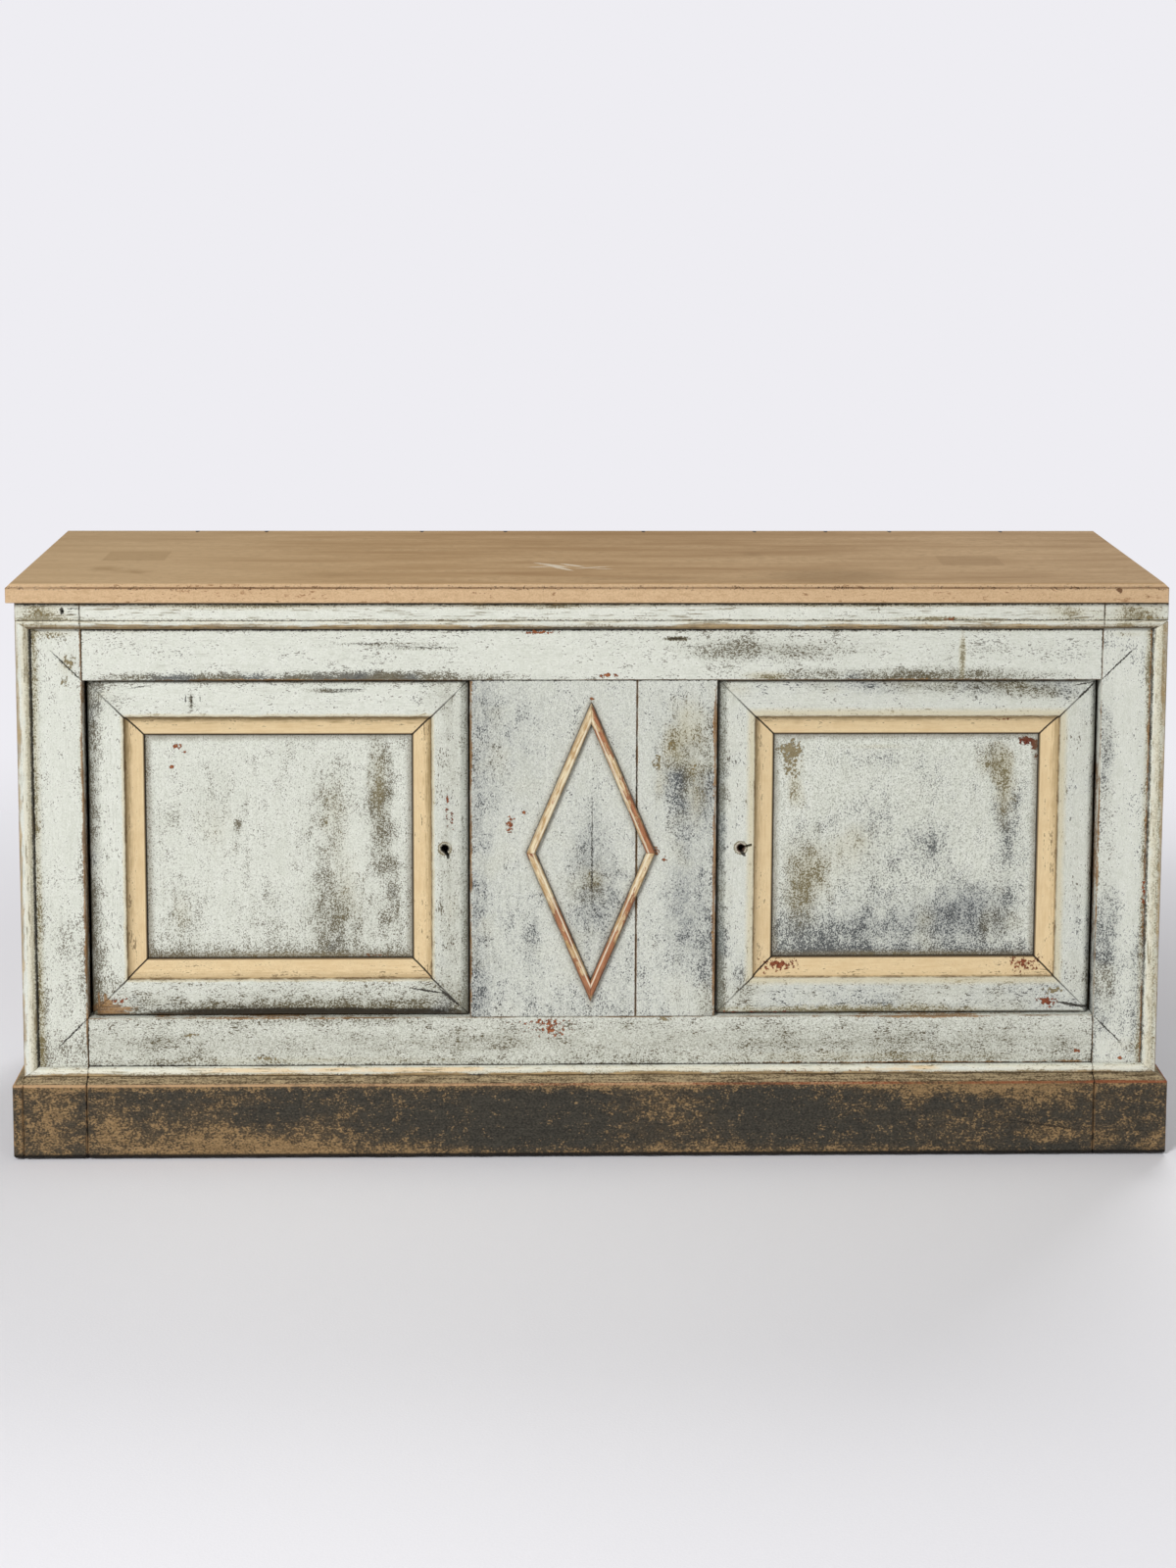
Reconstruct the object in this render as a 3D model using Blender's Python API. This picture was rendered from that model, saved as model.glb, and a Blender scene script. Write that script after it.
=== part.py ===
"""A painted buffet cabinet: stone top, two pivoted panel doors and a lozenge between them.

Metres, +Z up. The front faces -Y. The origin is on the floor, under the middle of the cabinet.
"""

import math

import bmesh
import bpy
from mathutils import Vector

# Clearances
SEAT = 0.0003  # between pieces that rest on each other or fit in each other
JOINT = 0.0007  # between boards that meet edge to edge in sight

# Front, from the middle outwards
CENTRE_WIDTH = 0.430  # boards between the two doors
CENTRE_JOINT_X = 0.0755  # where the two centre boards meet
OPENING_WIDTH = 0.669
POST_FACE = 0.087  # post seen between a door opening and the edge moulding
EDGE_WIDTH = 0.024  # upright edge moulding

# Front, from the floor upwards
FLOOR_GAP = 0.004  # the plinth boards hang clear of the floor
PLINTH_HEIGHT = 0.134
PLINTH_SLOPE = 0.0105  # rise of the plinth's sloping top
BASE_HEIGHT = 0.015  # base moulding
BOTTOM_RAIL_FACE = 0.087
OPENING_HEIGHT = 0.6025
TOP_RAIL_FACE = 0.091
BEAD_HEIGHT = 0.016  # bead along the foot of the fascia
FASCIA_FACE = 0.033

# Depths
BODY_DEPTH = 0.583  # fascia face to back boards
TRIM_THICKNESS = 0.012  # fascia and mouldings stand this far in front of the posts and rails
PLINTH_PROUD = 0.018  # plinth in front of the fascia, and outside the ends
DOOR_RECESS = 0.010
DOOR_THICKNESS = 0.032

# Stone top
TOP_THICKNESS = 0.033
TOP_FRONT_OVERHANG = 0.012
TOP_REAR_OVERHANG = 0.005
TOP_END_OVERHANG = 0.005
TOP_SHIFT = -0.008  # the loose slab lies a little to the left
TOP_EDGE_FALL = 0.006  # sloped arris on the slab's front and ends
TOP_EDGE_RUN = 0.006
TOP_QUIRK = 0.0012  # small step under that slope

# Trim profiles
EDGE_STEP = 0.0025  # square step at the inner edge of a moulding
OVOLO_SHARE = 0.625  # rounded share of a moulding's width, the rest is flat
QUIRK_DEPTH = 0.0012
QUIRK_HALF_WIDTH = 0.0006
PEG_HOLE_RADIUS = 0.0027  # empty peg hole in the left end of the fascia
PEG_HOLE_INSET = 0.028  # from the joint with the long board
PEG_HOLE_RISE = 0.017  # above the bead
CURVE_STEPS = 6
SCRIBE_LENGTH = 0.075  # false mitre line cut across each corner of the posts
SCRIBE_WIDTH = 0.0010
SCRIBE_DEPTH = 0.0015

# Doors
HINGE_GAP = 0.005
LOCK_GAP = 0.003
DOOR_TOP_GAP = 0.0025
DOOR_BOTTOM_GAP = 0.003
DOOR_FRAME_FACE = 0.064
DOOR_MOULD_WIDTH = 0.033
DOOR_MOULD_STEP = 0.0015
DOOR_MOULD_FALL = 0.012
DOOR_MOULD_LIP = 0.002
PANEL_DEPTH = 0.016  # panel face behind the door frame's face
PANEL_THICKNESS = 0.0094
PANEL_GROOVE = 0.009
LOCK_BEVEL_WIDTH = 0.013
LOCK_BEVEL_DEPTH = 0.0015

# Door pivots
PIN_RADIUS = 0.005
PIN_IN_RAIL = 0.030
PIN_IN_DOOR = 0.024
COLLAR_RADIUS = 0.009
ROUND_STEPS = 24
SMOOTH_ANGLE = 30.0  # degrees, edges sharper than this stay crisp

# Locks
KEYHOLE_INSET = 0.041  # from the door's closing edge
KEYHOLE_RADIUS = 0.0065
KEY_SLOT_WIDTH = 0.005
KEY_SLOT_LENGTH = 0.020  # from the middle of the round hole
KEY_SLOT_TURN = {"left": 20.0, "right": 105.0}  # degrees from straight down, towards +X
LOCK_LENGTH = 0.062
LOCK_HEIGHT = 0.076
LOCK_DEPTH = 0.014
LOCK_PLATE = 0.002
LOCK_INSET = 0.001  # case end behind the door's closing edge
DRILL_PIN_RADIUS = 0.002
DRILL_PIN_REACH = 0.012  # into the keyhole, past the door's back
BOLT_LENGTH = 0.046
BOLT_HEIGHT = 0.016
BOLT_THICKNESS = 0.008
BOLT_ABOVE_KEY = 0.009  # underside of the bolt over the keyhole's middle
TALON_WIDTH = 0.009  # notch that the key's bit pushes
TALON_DEPTH = 0.004

# Lozenge
LOZENGE_X = -0.004
LOZENGE_DROP = 0.0045  # its middle below the keyholes
LOZENGE_HALF_WIDTH = 0.1125
LOZENGE_HALF_HEIGHT = 0.2673
STICK_WIDTH = 0.0145
STICK_HEIGHT = 0.009
STICK_CHAMFER = 0.0025

# Ends, back and inside
END_RAIL_THICKNESS = 0.028
END_RAIL_HEIGHT = 0.090  # upper rail, the lower one reaches down behind the plinth
END_PANEL_THICKNESS = 0.012
END_PANEL_RECESS = 0.010
END_GROOVE = 0.010
REAR_POST_WIDTH = 0.060
REAR_POST_DEPTH = 0.060
BACK_THICKNESS = 0.018
BACK_REBATE = 0.045  # width of the rebate that takes the back boards' ends
BACK_BOARD_COUNT = 3
BACK_BOTTOM = 0.060
REAR_RAIL_THICKNESS = 0.028
REAR_RAIL_HEIGHT = 0.080
FLOOR_THICKNESS = 0.020
FLOOR_STOP = 0.010  # the floor stands this far above the bottom rail, and stops the doors
FLOOR_LEDGE = 0.020
FLOOR_FRONT_DEPTH = 0.250  # front floor board
SHELF_THICKNESS = 0.024
SHELF_HEIGHT = 0.2435  # top of the shelf above the cabinet's floor
SHELF_SETBACK = 0.070  # behind the doors, clear of the locks
CLEAT_HEIGHT = 0.030
CLEAT_WIDTH = 0.025
TENON_LENGTH = 0.030
TENON_THICKNESS = 0.014
TENON_MARGIN = 0.020  # shoulder above and below a tenon
FRAME_MARGIN = 0.001  # how far a cutter runs past the face that it starts from

# Places that follow from the sizes. X is half of the front, Z is from the floor, Y is from front to back
X_CENTRE = CENTRE_WIDTH / 2
X_OPEN = X_CENTRE + OPENING_WIDTH
X_EDGE = X_OPEN + POST_FACE
X_END = X_EDGE + EDGE_WIDTH
X_PLINTH = X_END + PLINTH_PROUD

Z_PLINTH = PLINTH_HEIGHT + PLINTH_SLOPE
Z_RAIL = Z_PLINTH + BASE_HEIGHT
Z_OPEN_LOW = Z_RAIL + BOTTOM_RAIL_FACE
Z_OPEN_HIGH = Z_OPEN_LOW + OPENING_HEIGHT
Z_BEAD = Z_OPEN_HIGH + TOP_RAIL_FACE
Z_FASCIA = Z_BEAD + BEAD_HEIGHT
Z_CARCASS = Z_FASCIA + FASCIA_FACE
Z_FLOOR = Z_OPEN_LOW + FLOOR_STOP
Z_SHELF = Z_FLOOR + SHELF_HEIGHT

FRAME_THICKNESS = DOOR_RECESS + DOOR_THICKNESS
TOTAL_DEPTH = PLINTH_PROUD + BODY_DEPTH + TOP_REAR_OVERHANG
Y_PLINTH = -TOTAL_DEPTH / 2
Y_FRONT = Y_PLINTH + PLINTH_PROUD
Y_FACE = Y_FRONT + TRIM_THICKNESS
Y_DOOR = Y_FACE + DOOR_RECESS
Y_FRAME_BACK = Y_FACE + FRAME_THICKNESS
Y_BACK = Y_FRONT + BODY_DEPTH
Y_BACK_BOARDS = Y_BACK - BACK_THICKNESS
Y_REAR_POST = Y_BACK - REAR_POST_DEPTH

X_PANEL_OUT = X_END - END_PANEL_RECESS
X_PANEL_IN = X_PANEL_OUT - END_PANEL_THICKNESS
X_REAR_POST = X_END - REAR_POST_WIDTH
X_BACK_BOARDS = X_REAR_POST + BACK_REBATE
Y_TENON = (Y_FACE + Y_FRAME_BACK) / 2
Z_KEYHOLE = (Z_OPEN_LOW + Z_OPEN_HIGH) / 2

SIDES = {"left": -1, "right": 1}


# Building blocks


def bare_material(name, colour, roughness, metallic=0.0):
    """A plain finish: one colour over the whole piece."""
    material = bpy.data.materials.new(name)
    material.use_nodes = True
    shader = material.node_tree.nodes["Principled BSDF"]
    shader.inputs["Base Color"].default_value = (*colour, 1.0)
    shader.inputs["Roughness"].default_value = roughness
    shader.inputs["Metallic"].default_value = metallic
    return material


def place(name, bm, material, parent=None):
    """The shape as an object with its origin in its middle, or on its parent's axis where it moves."""
    bmesh.ops.recalc_face_normals(bm, faces=bm.faces)
    corners = [vertex.co.copy() for vertex in bm.verts]
    if parent is None:
        low = Vector(map(min, *corners))
        high = Vector(map(max, *corners))
        origin = (low + high) / 2
    else:
        origin = parent.location.copy()
    bmesh.ops.translate(bm, verts=bm.verts, vec=-origin)
    mesh = bpy.data.meshes.new(name)
    bm.to_mesh(mesh)
    bm.free()
    obj = bpy.data.objects.new(name, mesh)
    bpy.context.scene.collection.objects.link(obj)
    obj.location = origin if parent is None else (0, 0, 0)
    obj.parent = parent
    if material:
        mesh.materials.append(material)
    return obj


def helper(name, bm):
    """A shape that only cuts or joins others, and isn't a piece itself."""
    obj = place(name, bm, None)
    obj.hide_render = True
    obj.display_type = "WIRE"
    return obj


def work(obj, other, operation):
    modifier = obj.modifiers.new(operation.lower(), "BOOLEAN")
    modifier.operation = operation
    modifier.object = other


def cut(obj, other):
    work(obj, other, "DIFFERENCE")


def join(obj, other):
    work(obj, other, "UNION")


def finish_pieces():
    """Carries out the cuts and joins, removes what made them, and shades the round faces smooth."""
    graph = bpy.context.evaluated_depsgraph_get()
    meshes = [obj for obj in bpy.data.objects if obj.type == "MESH"]
    pieces = [obj for obj in meshes if not obj.hide_render]
    for obj in pieces:
        if obj.modifiers:
            mesh = bpy.data.meshes.new_from_object(obj.evaluated_get(graph))
            mesh.name = obj.name
            obj.modifiers.clear()
            obj.data = mesh
        obj.data.shade_smooth()
        obj.data.set_sharp_from_angle(angle=math.radians(SMOOTH_ANGLE))
    for obj in set(meshes) - set(pieces):
        bpy.data.objects.remove(obj)


def axis_point(along, a, b, c):
    """The point at c along an axis. a and b are its other two coordinates, in X, Y, Z order."""
    if along == "x":
        return (c, a, b)
    if along == "y":
        return (a, c, b)
    return (a, b, c)


def prism(bm, outline, along, start, end, crease=None):
    """An outline of (a, b) points run along an axis. A start or end that is a function mitres that end.
    Where an end has two slopes, crease names the two points of the outline that its fold joins."""
    loops = []
    for limit in (start, end):
        loop = []
        for a, b in outline:
            c = limit(a, b) if callable(limit) else limit
            loop.append(bm.verts.new(axis_point(along, a, b, c)))
        loops.append(loop)
    for limit, loop in zip((start, end), loops):
        if crease and callable(limit):
            first, second = sorted(crease)
            bm.faces.new(loop[first : second + 1])
            bm.faces.new(loop[second:] + loop[: first + 1])
        else:
            bm.faces.new(loop)
    for i in range(len(outline)):
        j = (i + 1) % len(outline)
        bm.faces.new((loops[0][i], loops[0][j], loops[1][j], loops[1][i]))
    return bm


def box(bm, x, y, z):
    """A block between two limits on each axis, given in either order."""
    x, y, z = sorted(x), sorted(y), sorted(z)
    outline = [(x[0], y[0]), (x[1], y[0]), (x[1], y[1]), (x[0], y[1])]
    return prism(bm, outline, "z", *z)


def block(name, material, x, y, z, parent=None):
    return place(name, box(bmesh.new(), x, y, z), material, parent)


def circle(middle, radius, steps=ROUND_STEPS):
    turns = [2 * math.pi * i / steps for i in range(steps)]
    return [(middle[0] + radius * math.cos(t), middle[1] + radius * math.sin(t)) for t in turns]


def turned(bm, middle, profile):
    """A turned piece on an upright axis. The profile is (radius, z) from one end to the other."""
    rings = [[bm.verts.new((x, y, z)) for x, y in circle(middle, radius)] for radius, z in profile]
    bm.faces.new(rings[0])
    bm.faces.new(rings[-1])
    for lower, upper in zip(rings, rings[1:]):
        for i in range(ROUND_STEPS):
            j = (i + 1) % ROUND_STEPS
            bm.faces.new((lower[i], lower[j], upper[j], upper[i]))
    return bm


def ovolo(width):
    """The face of a moulding, as (distance from its inner edge, height) points, inner edge first."""
    points = [(0.0, 0.0)]
    for i in range(CURVE_STEPS + 1):
        turn = math.pi / 2 * i / CURVE_STEPS
        across = OVOLO_SHARE * width * (1 - math.cos(turn))
        height = EDGE_STEP + (TRIM_THICKNESS - EDGE_STEP) * math.sin(turn)
        points.append((across, height))
    points.append((width, TRIM_THICKNESS))
    return points


# Corner posts, rails and centre boards: the face frame


def tenon_z(z):
    return (z[0] + TENON_MARGIN, z[1] - TENON_MARGIN)


def tenon_y(middle):
    return (middle - TENON_THICKNESS / 2, middle + TENON_THICKNESS / 2)


def grown(limits, by=SEAT):
    """Limits of the hole that takes a piece between these limits."""
    low, high = sorted(limits)
    return (low - by, high + by)


def tenon_x(side, shoulder, hole=False):
    """Limits of a tenon that runs outwards from a shoulder, or of its mortise."""
    root = shoulder - (FRAME_MARGIN if hole else TENON_LENGTH)
    tip = shoulder + TENON_LENGTH + (SEAT if hole else 0)
    return (side * root, side * tip)


FRONT_RAILS = {
    "top_front_rail": (Z_OPEN_HIGH, Z_CARCASS - SEAT),
    "bottom_front_rail": (PLINTH_HEIGHT, Z_OPEN_LOW),
}
REAR_RAILS = {
    "top_rear_rail": (Z_CARCASS - REAR_RAIL_HEIGHT, Z_CARCASS - SEAT),
    "bottom_rear_rail": (Z_FLOOR - FLOOR_THICKNESS - REAR_RAIL_HEIGHT, Z_FLOOR - FLOOR_THICKNESS - SEAT),
}
Y_REAR_RAIL = Y_BACK_BOARDS - SEAT - REAR_RAIL_THICKNESS
Y_REAR_TENON = Y_REAR_RAIL + REAR_RAIL_THICKNESS / 2
CENTRE_BOARDS = {
    "centre_board_left": (-X_CENTRE, CENTRE_JOINT_X - JOINT / 2),
    "centre_board_right": (CENTRE_JOINT_X + JOINT / 2, X_CENTRE),
}


def scribe(bm, side, corner_z, upwards):
    """The false mitre: a thin saw line from a corner of the door opening, outwards across the post."""
    step = SCRIBE_LENGTH / math.sqrt(2)
    half = SCRIBE_WIDTH / math.sqrt(2)
    near = (side * X_OPEN, corner_z)
    far = (side * (X_OPEN + step), corner_z + upwards * step)
    across = (side * half / 2, -upwards * half / 2)
    outline = [
        (near[0] + across[0], near[1] + across[1]),
        (far[0] + across[0], far[1] + across[1]),
        (far[0] - across[0], far[1] - across[1]),
        (near[0] - across[0], near[1] - across[1]),
    ]
    prism(bm, outline, "y", Y_FACE - FRAME_MARGIN, Y_FACE + SCRIBE_DEPTH)


def front_post(name, side, material):
    """Board from floor to stone, grooved behind for the end frame and mortised for the front rails."""
    groove = (X_PANEL_OUT + SEAT, X_PANEL_IN - SEAT)
    outline = [
        (side * X_OPEN, Y_FACE),
        (side * X_END, Y_FACE),
        (side * X_END, Y_FRAME_BACK),
        (side * groove[0], Y_FRAME_BACK),
        (side * groove[0], Y_FRAME_BACK - END_GROOVE),
        (side * groove[1], Y_FRAME_BACK - END_GROOVE),
        (side * groove[1], Y_FRAME_BACK),
        (side * X_OPEN, Y_FRAME_BACK),
    ]
    post = place(f"{name}_front_post", prism(bmesh.new(), outline, "z", 0, Z_CARCASS - SEAT), material)
    cuts = bmesh.new()
    for z in FRONT_RAILS.values():
        box(cuts, tenon_x(side, X_OPEN, True), grown(tenon_y(Y_TENON)), grown(tenon_z(z)))
    scribe(cuts, side, Z_OPEN_HIGH, 1)
    scribe(cuts, side, Z_OPEN_LOW, -1)
    cut(post, helper(f"{name}_front_post_cuts", cuts))


def front_rail(name, material):
    """Rail between the posts, tenoned at both ends, with mortises for the centre boards and pivot pins."""
    low, high = FRONT_RAILS[name]
    outline = [(Y_FACE, low), (Y_FRAME_BACK, low), (Y_FRAME_BACK, high), (Y_FACE, high)]
    is_top = name == "top_front_rail"
    if not is_top:
        ledge = Y_FRAME_BACK + FLOOR_LEDGE
        ledge_top = Z_FLOOR - FLOOR_THICKNESS - SEAT
        outline[1:3] = [(ledge, low), (ledge, ledge_top), (Y_FRAME_BACK, ledge_top), (Y_FRAME_BACK, high)]
    shoulder = X_OPEN - JOINT
    rail = place(name, prism(bmesh.new(), outline, "x", -shoulder, shoulder), material)
    tenons = bmesh.new()
    box(tenons, (-shoulder - TENON_LENGTH, -X_CENTRE), tenon_y(Y_TENON), tenon_z((low, high)))
    box(tenons, (X_CENTRE, shoulder + TENON_LENGTH), tenon_y(Y_TENON), tenon_z((low, high)))
    join(rail, helper(f"{name}_tenons", tenons))
    edge = low if is_top else high
    inwards = 1 if is_top else -1
    cuts = bmesh.new()
    for x in CENTRE_BOARDS.values():
        depth = edge + inwards * (TENON_LENGTH + SEAT)
        mouth = edge - inwards * FRAME_MARGIN
        box(cuts, grown(tenon_z(x)), grown(tenon_y(Y_TENON)), (mouth, depth))
    for door in DOORS.values():
        depth = edge + inwards * (PIN_IN_RAIL + SEAT)
        mouth = edge - inwards * FRAME_MARGIN
        prism(cuts, circle(door["pivot"], PIN_RADIUS + SEAT), "z", *sorted((mouth, depth)))
    cut(rail, helper(f"{name}_mortises", cuts))


def centre_board(name, material):
    """Upright board between the rails, tenoned into both."""
    x = CENTRE_BOARDS[name]
    z = (Z_OPEN_LOW + JOINT, Z_OPEN_HIGH - JOINT)
    board = block(name, material, x, (Y_FACE, Y_FRAME_BACK), z)
    tenons = bmesh.new()
    box(tenons, tenon_z(x), tenon_y(Y_TENON), (z[0] - TENON_LENGTH, z[0] + TENON_LENGTH))
    box(tenons, tenon_z(x), tenon_y(Y_TENON), (z[1] - TENON_LENGTH, z[1] + TENON_LENGTH))
    join(board, helper(f"{name}_tenons", tenons))


# Trim on the front: fascia, edge mouldings, base moulding and lozenge


def fascia_outline(quirked):
    """Section of the fascia board with the bead along its foot, as (y, z) points.
    The first two points lie level with the top of the bead, so that an end can be mitred below them."""
    back = Y_FACE - SEAT
    face = ovolo(BEAD_HEIGHT)
    bead = [(Y_FACE - height, Z_BEAD + across) for across, height in face[1:-1]]
    top = Z_CARCASS - SEAT
    if quirked:
        line = [
            (Y_FRONT, Z_FASCIA - QUIRK_HALF_WIDTH),
            (Y_FRONT + QUIRK_DEPTH, Z_FASCIA),
            (Y_FRONT, Z_FASCIA + QUIRK_HALF_WIDTH),
        ]
        fold = len(bead) + 3
    else:
        line = [(Y_FRONT, Z_FASCIA)]
        fold = len(bead) + 2
    outline = [(back, Z_FASCIA), (back, Z_BEAD), *bead, *line, (Y_FRONT, top), (back, top)]
    return outline, (0, fold)


def bead_mitre(side):
    """The fascia's outer end: square above the bead, and mitred over the edge moulding below it."""
    run = EDGE_WIDTH / BEAD_HEIGHT

    def end(_, z):
        return side * (X_END - run * max(0.0, Z_FASCIA - z))

    return end


def fascia(material):
    """Fascia boards: one long board between the posts, and a block on each post."""
    shoulder = X_OPEN - JOINT / 2
    outline, _ = fascia_outline(True)
    place("fascia_centre", prism(bmesh.new(), outline, "x", -shoulder, shoulder), material)
    for name, side in SIDES.items():
        outline, fold = fascia_outline(name == "left")
        inner = side * (X_OPEN + JOINT / 2)
        bm = prism(bmesh.new(), outline, "x", inner, bead_mitre(side), fold)
        end_block = place(f"fascia_{name}_block", bm, material)
        if name == "left":
            hole = circle((inner + side * PEG_HOLE_INSET, Z_FASCIA + PEG_HOLE_RISE), PEG_HOLE_RADIUS)
            drill = prism(bmesh.new(), hole, "y", Y_FRONT - FRAME_MARGIN, Y_FACE + FRAME_MARGIN)
            cut(end_block, helper("fascia_peg_hole", drill))


def edge_moulding(name, side, material):
    """Upright moulding down the outer edge of a post, mitred into the fascia's bead and the base moulding."""
    outline = [(side * (X_EDGE + across), Y_FACE - height) for across, height in ovolo(EDGE_WIDTH)[1:]]
    outline.append((side * X_END, Y_FACE - SEAT))
    outline.append((side * X_EDGE, Y_FACE - SEAT))

    def share(x):
        return (abs(x) - X_EDGE) / EDGE_WIDTH

    def low(x, _):
        return Z_RAIL - BASE_HEIGHT * share(x) + JOINT

    def high(x, _):
        return Z_BEAD + BEAD_HEIGHT * share(x) - JOINT

    place(f"{name}_edge_moulding", prism(bmesh.new(), outline, "z", low, high), material)


def base_moulding(material):
    """Moulding along the foot of the front, in three lengths like the plinth under it."""
    face = [(Y_FACE - height, Z_RAIL - across) for across, height in ovolo(BASE_HEIGHT)[1:]]
    face[-1] = (face[-1][0], Z_PLINTH + SEAT)
    outline = [*face, (Y_FACE - SEAT, Z_PLINTH + SEAT), (Y_FACE - SEAT, Z_RAIL)]
    shoulder = X_OPEN - JOINT / 2
    place("base_moulding_centre", prism(bmesh.new(), outline, "x", -shoulder, shoulder), material)
    for name, side in SIDES.items():

        def mitre(_, z, side=side):
            return side * (X_EDGE + EDGE_WIDTH * (Z_RAIL - z) / BASE_HEIGHT)

        inner = side * (X_OPEN + JOINT / 2)
        place(f"base_moulding_{name}", prism(bmesh.new(), outline, "x", inner, mitre), material)


def lozenge(material):
    """Four chamfered sticks, mitred at the tips and nailed on the centre boards."""
    a, b = LOZENGE_HALF_WIDTH, LOZENGE_HALF_HEIGHT
    reach = a * b / math.hypot(a, b)
    section = [
        (0.0, SEAT),
        (0.0, STICK_HEIGHT - STICK_CHAMFER),
        (STICK_CHAMFER, STICK_HEIGHT),
        (STICK_WIDTH - STICK_CHAMFER, STICK_HEIGHT),
        (STICK_WIDTH, STICK_HEIGHT - STICK_CHAMFER),
        (STICK_WIDTH, SEAT),
    ]
    middle = Vector((LOZENGE_X, 0, Z_KEYHOLE - LOZENGE_DROP))
    for upright, z_sign in (("upper", 1), ("lower", -1)):
        for name, x_sign in SIDES.items():
            tips = (Vector((0, 0, z_sign * b)), Vector((x_sign * a, 0, 0)))
            along = (tips[1] - tips[0]).normalized() * JOINT / 2
            bm = bmesh.new()
            loops = []
            for tip, shift in zip(tips, (along, -along)):
                loop = []
                for inset, height in section:
                    point = middle + tip * (reach - inset) / reach + shift
                    loop.append(bm.verts.new((point.x, Y_FACE - height, point.z)))
                loops.append(loop)
                bm.faces.new(loop)
            for i in range(len(section)):
                j = (i + 1) % len(section)
                bm.faces.new((loops[0][i], loops[0][j], loops[1][j], loops[1][i]))
            place(f"lozenge_{upright}_{name}", bm, material)


# Plinth


def sloped(value, outer, z):
    """A plinth's outer face, drawn in over the height of its sloping top."""
    rise = max(0.0, z - PLINTH_HEIGHT)
    return value - math.copysign(PLINTH_PROUD * rise / PLINTH_SLOPE, outer)


def plinth(material):
    """Plinth boards: one between the posts, a block on each post, and one along each end.
    On the left the end board laps the block, and on the right the block laps the end board."""
    back = Y_FACE - SEAT
    outline = [
        (back, PLINTH_HEIGHT),
        (back, FLOOR_GAP),
        (Y_PLINTH, FLOOR_GAP),
        (Y_PLINTH, PLINTH_HEIGHT),
        (Y_FRONT, Z_PLINTH),
        (back, Z_PLINTH),
    ]
    fold = (0, 3)
    shoulder = X_OPEN - JOINT / 2
    place("plinth_front", prism(bmesh.new(), outline, "x", -shoulder, shoulder), material)
    inner = X_OPEN + JOINT / 2
    place("plinth_left_block", prism(bmesh.new(), outline, "x", -X_END + SEAT, -inner), material)

    def hip(_, z):
        return sloped(X_PLINTH, 1, z)

    place("plinth_right_block", prism(bmesh.new(), outline, "x", inner, hip, fold), material)

    for name, side in SIDES.items():
        face = X_END + SEAT
        end_outline = [
            (side * face, PLINTH_HEIGHT),
            (side * face, FLOOR_GAP),
            (side * X_PLINTH, FLOOR_GAP),
            (side * X_PLINTH, PLINTH_HEIGHT),
            (side * face, Z_PLINTH),
        ]

        def front_hip(_, z):
            return sloped(Y_PLINTH, -1, z)

        front = front_hip if name == "left" else back + JOINT
        place(f"plinth_{name}_end", prism(bmesh.new(), end_outline, "y", front, Y_BACK, fold), material)


# Ends, back, floor and shelf


def rear_post(name, side, material):
    """Post grooved in front for the end frame, and rebated behind for the back boards."""
    groove = (X_PANEL_OUT + SEAT, X_PANEL_IN - SEAT)
    outline = [
        (side * X_REAR_POST, Y_REAR_POST),
        (side * groove[1], Y_REAR_POST),
        (side * groove[1], Y_REAR_POST + END_GROOVE),
        (side * groove[0], Y_REAR_POST + END_GROOVE),
        (side * groove[0], Y_REAR_POST),
        (side * X_END, Y_REAR_POST),
        (side * X_END, Y_BACK),
        (side * X_BACK_BOARDS, Y_BACK),
        (side * X_BACK_BOARDS, Y_BACK_BOARDS),
        (side * X_REAR_POST, Y_BACK_BOARDS),
    ]
    post = place(f"{name}_rear_post", prism(bmesh.new(), outline, "z", 0, Z_CARCASS - SEAT), material)
    cuts = bmesh.new()
    for z in REAR_RAILS.values():
        box(cuts, tenon_x(side, X_REAR_POST, True), grown(tenon_y(Y_REAR_TENON)), grown(tenon_z(z)))
    cut(post, helper(f"{name}_rear_post_mortises", cuts))


def end_frame(name, side, material):
    """Two rails and a panel between the posts, all held in the posts' grooves."""
    y = (Y_FRAME_BACK + SEAT, Y_REAR_POST - SEAT)
    tongue = END_GROOVE - SEAT
    rails = {
        "top_rail": (Z_CARCASS - END_RAIL_HEIGHT, Z_CARCASS - SEAT, 1),
        "bottom_rail": (PLINTH_HEIGHT, Z_OPEN_LOW, -1),
    }
    for rail_name, (low, high, upwards) in rails.items():
        x_in = X_END - END_RAIL_THICKNESS
        groove_edge, far_edge = (low, high) if upwards > 0 else (high, low)
        floor_of_groove = groove_edge + upwards * END_GROOVE
        outline = [
            (side * X_END, far_edge),
            (side * X_END, groove_edge),
            (side * (X_PANEL_OUT + SEAT), groove_edge),
            (side * (X_PANEL_OUT + SEAT), floor_of_groove),
            (side * (X_PANEL_IN - SEAT), floor_of_groove),
            (side * (X_PANEL_IN - SEAT), groove_edge),
            (side * x_in, groove_edge),
            (side * x_in, far_edge),
        ]
        rail = place(f"{name}_end_{rail_name}", prism(bmesh.new(), outline, "y", *y), material)
        tongues = bmesh.new()
        x = (side * X_PANEL_IN, side * X_PANEL_OUT)
        z = (floor_of_groove + upwards * SEAT, far_edge - upwards * SEAT)
        box(tongues, x, (y[0] - tongue, y[1] + tongue), z)
        join(rail, helper(f"{name}_end_{rail_name}_tongues", tongues))
    z = (Z_OPEN_LOW - tongue, Z_CARCASS - END_RAIL_HEIGHT + tongue)
    x = (side * X_PANEL_IN, side * X_PANEL_OUT)
    block(f"{name}_end_panel", material, x, (y[0] - tongue, y[1] + tongue), z)


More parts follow.
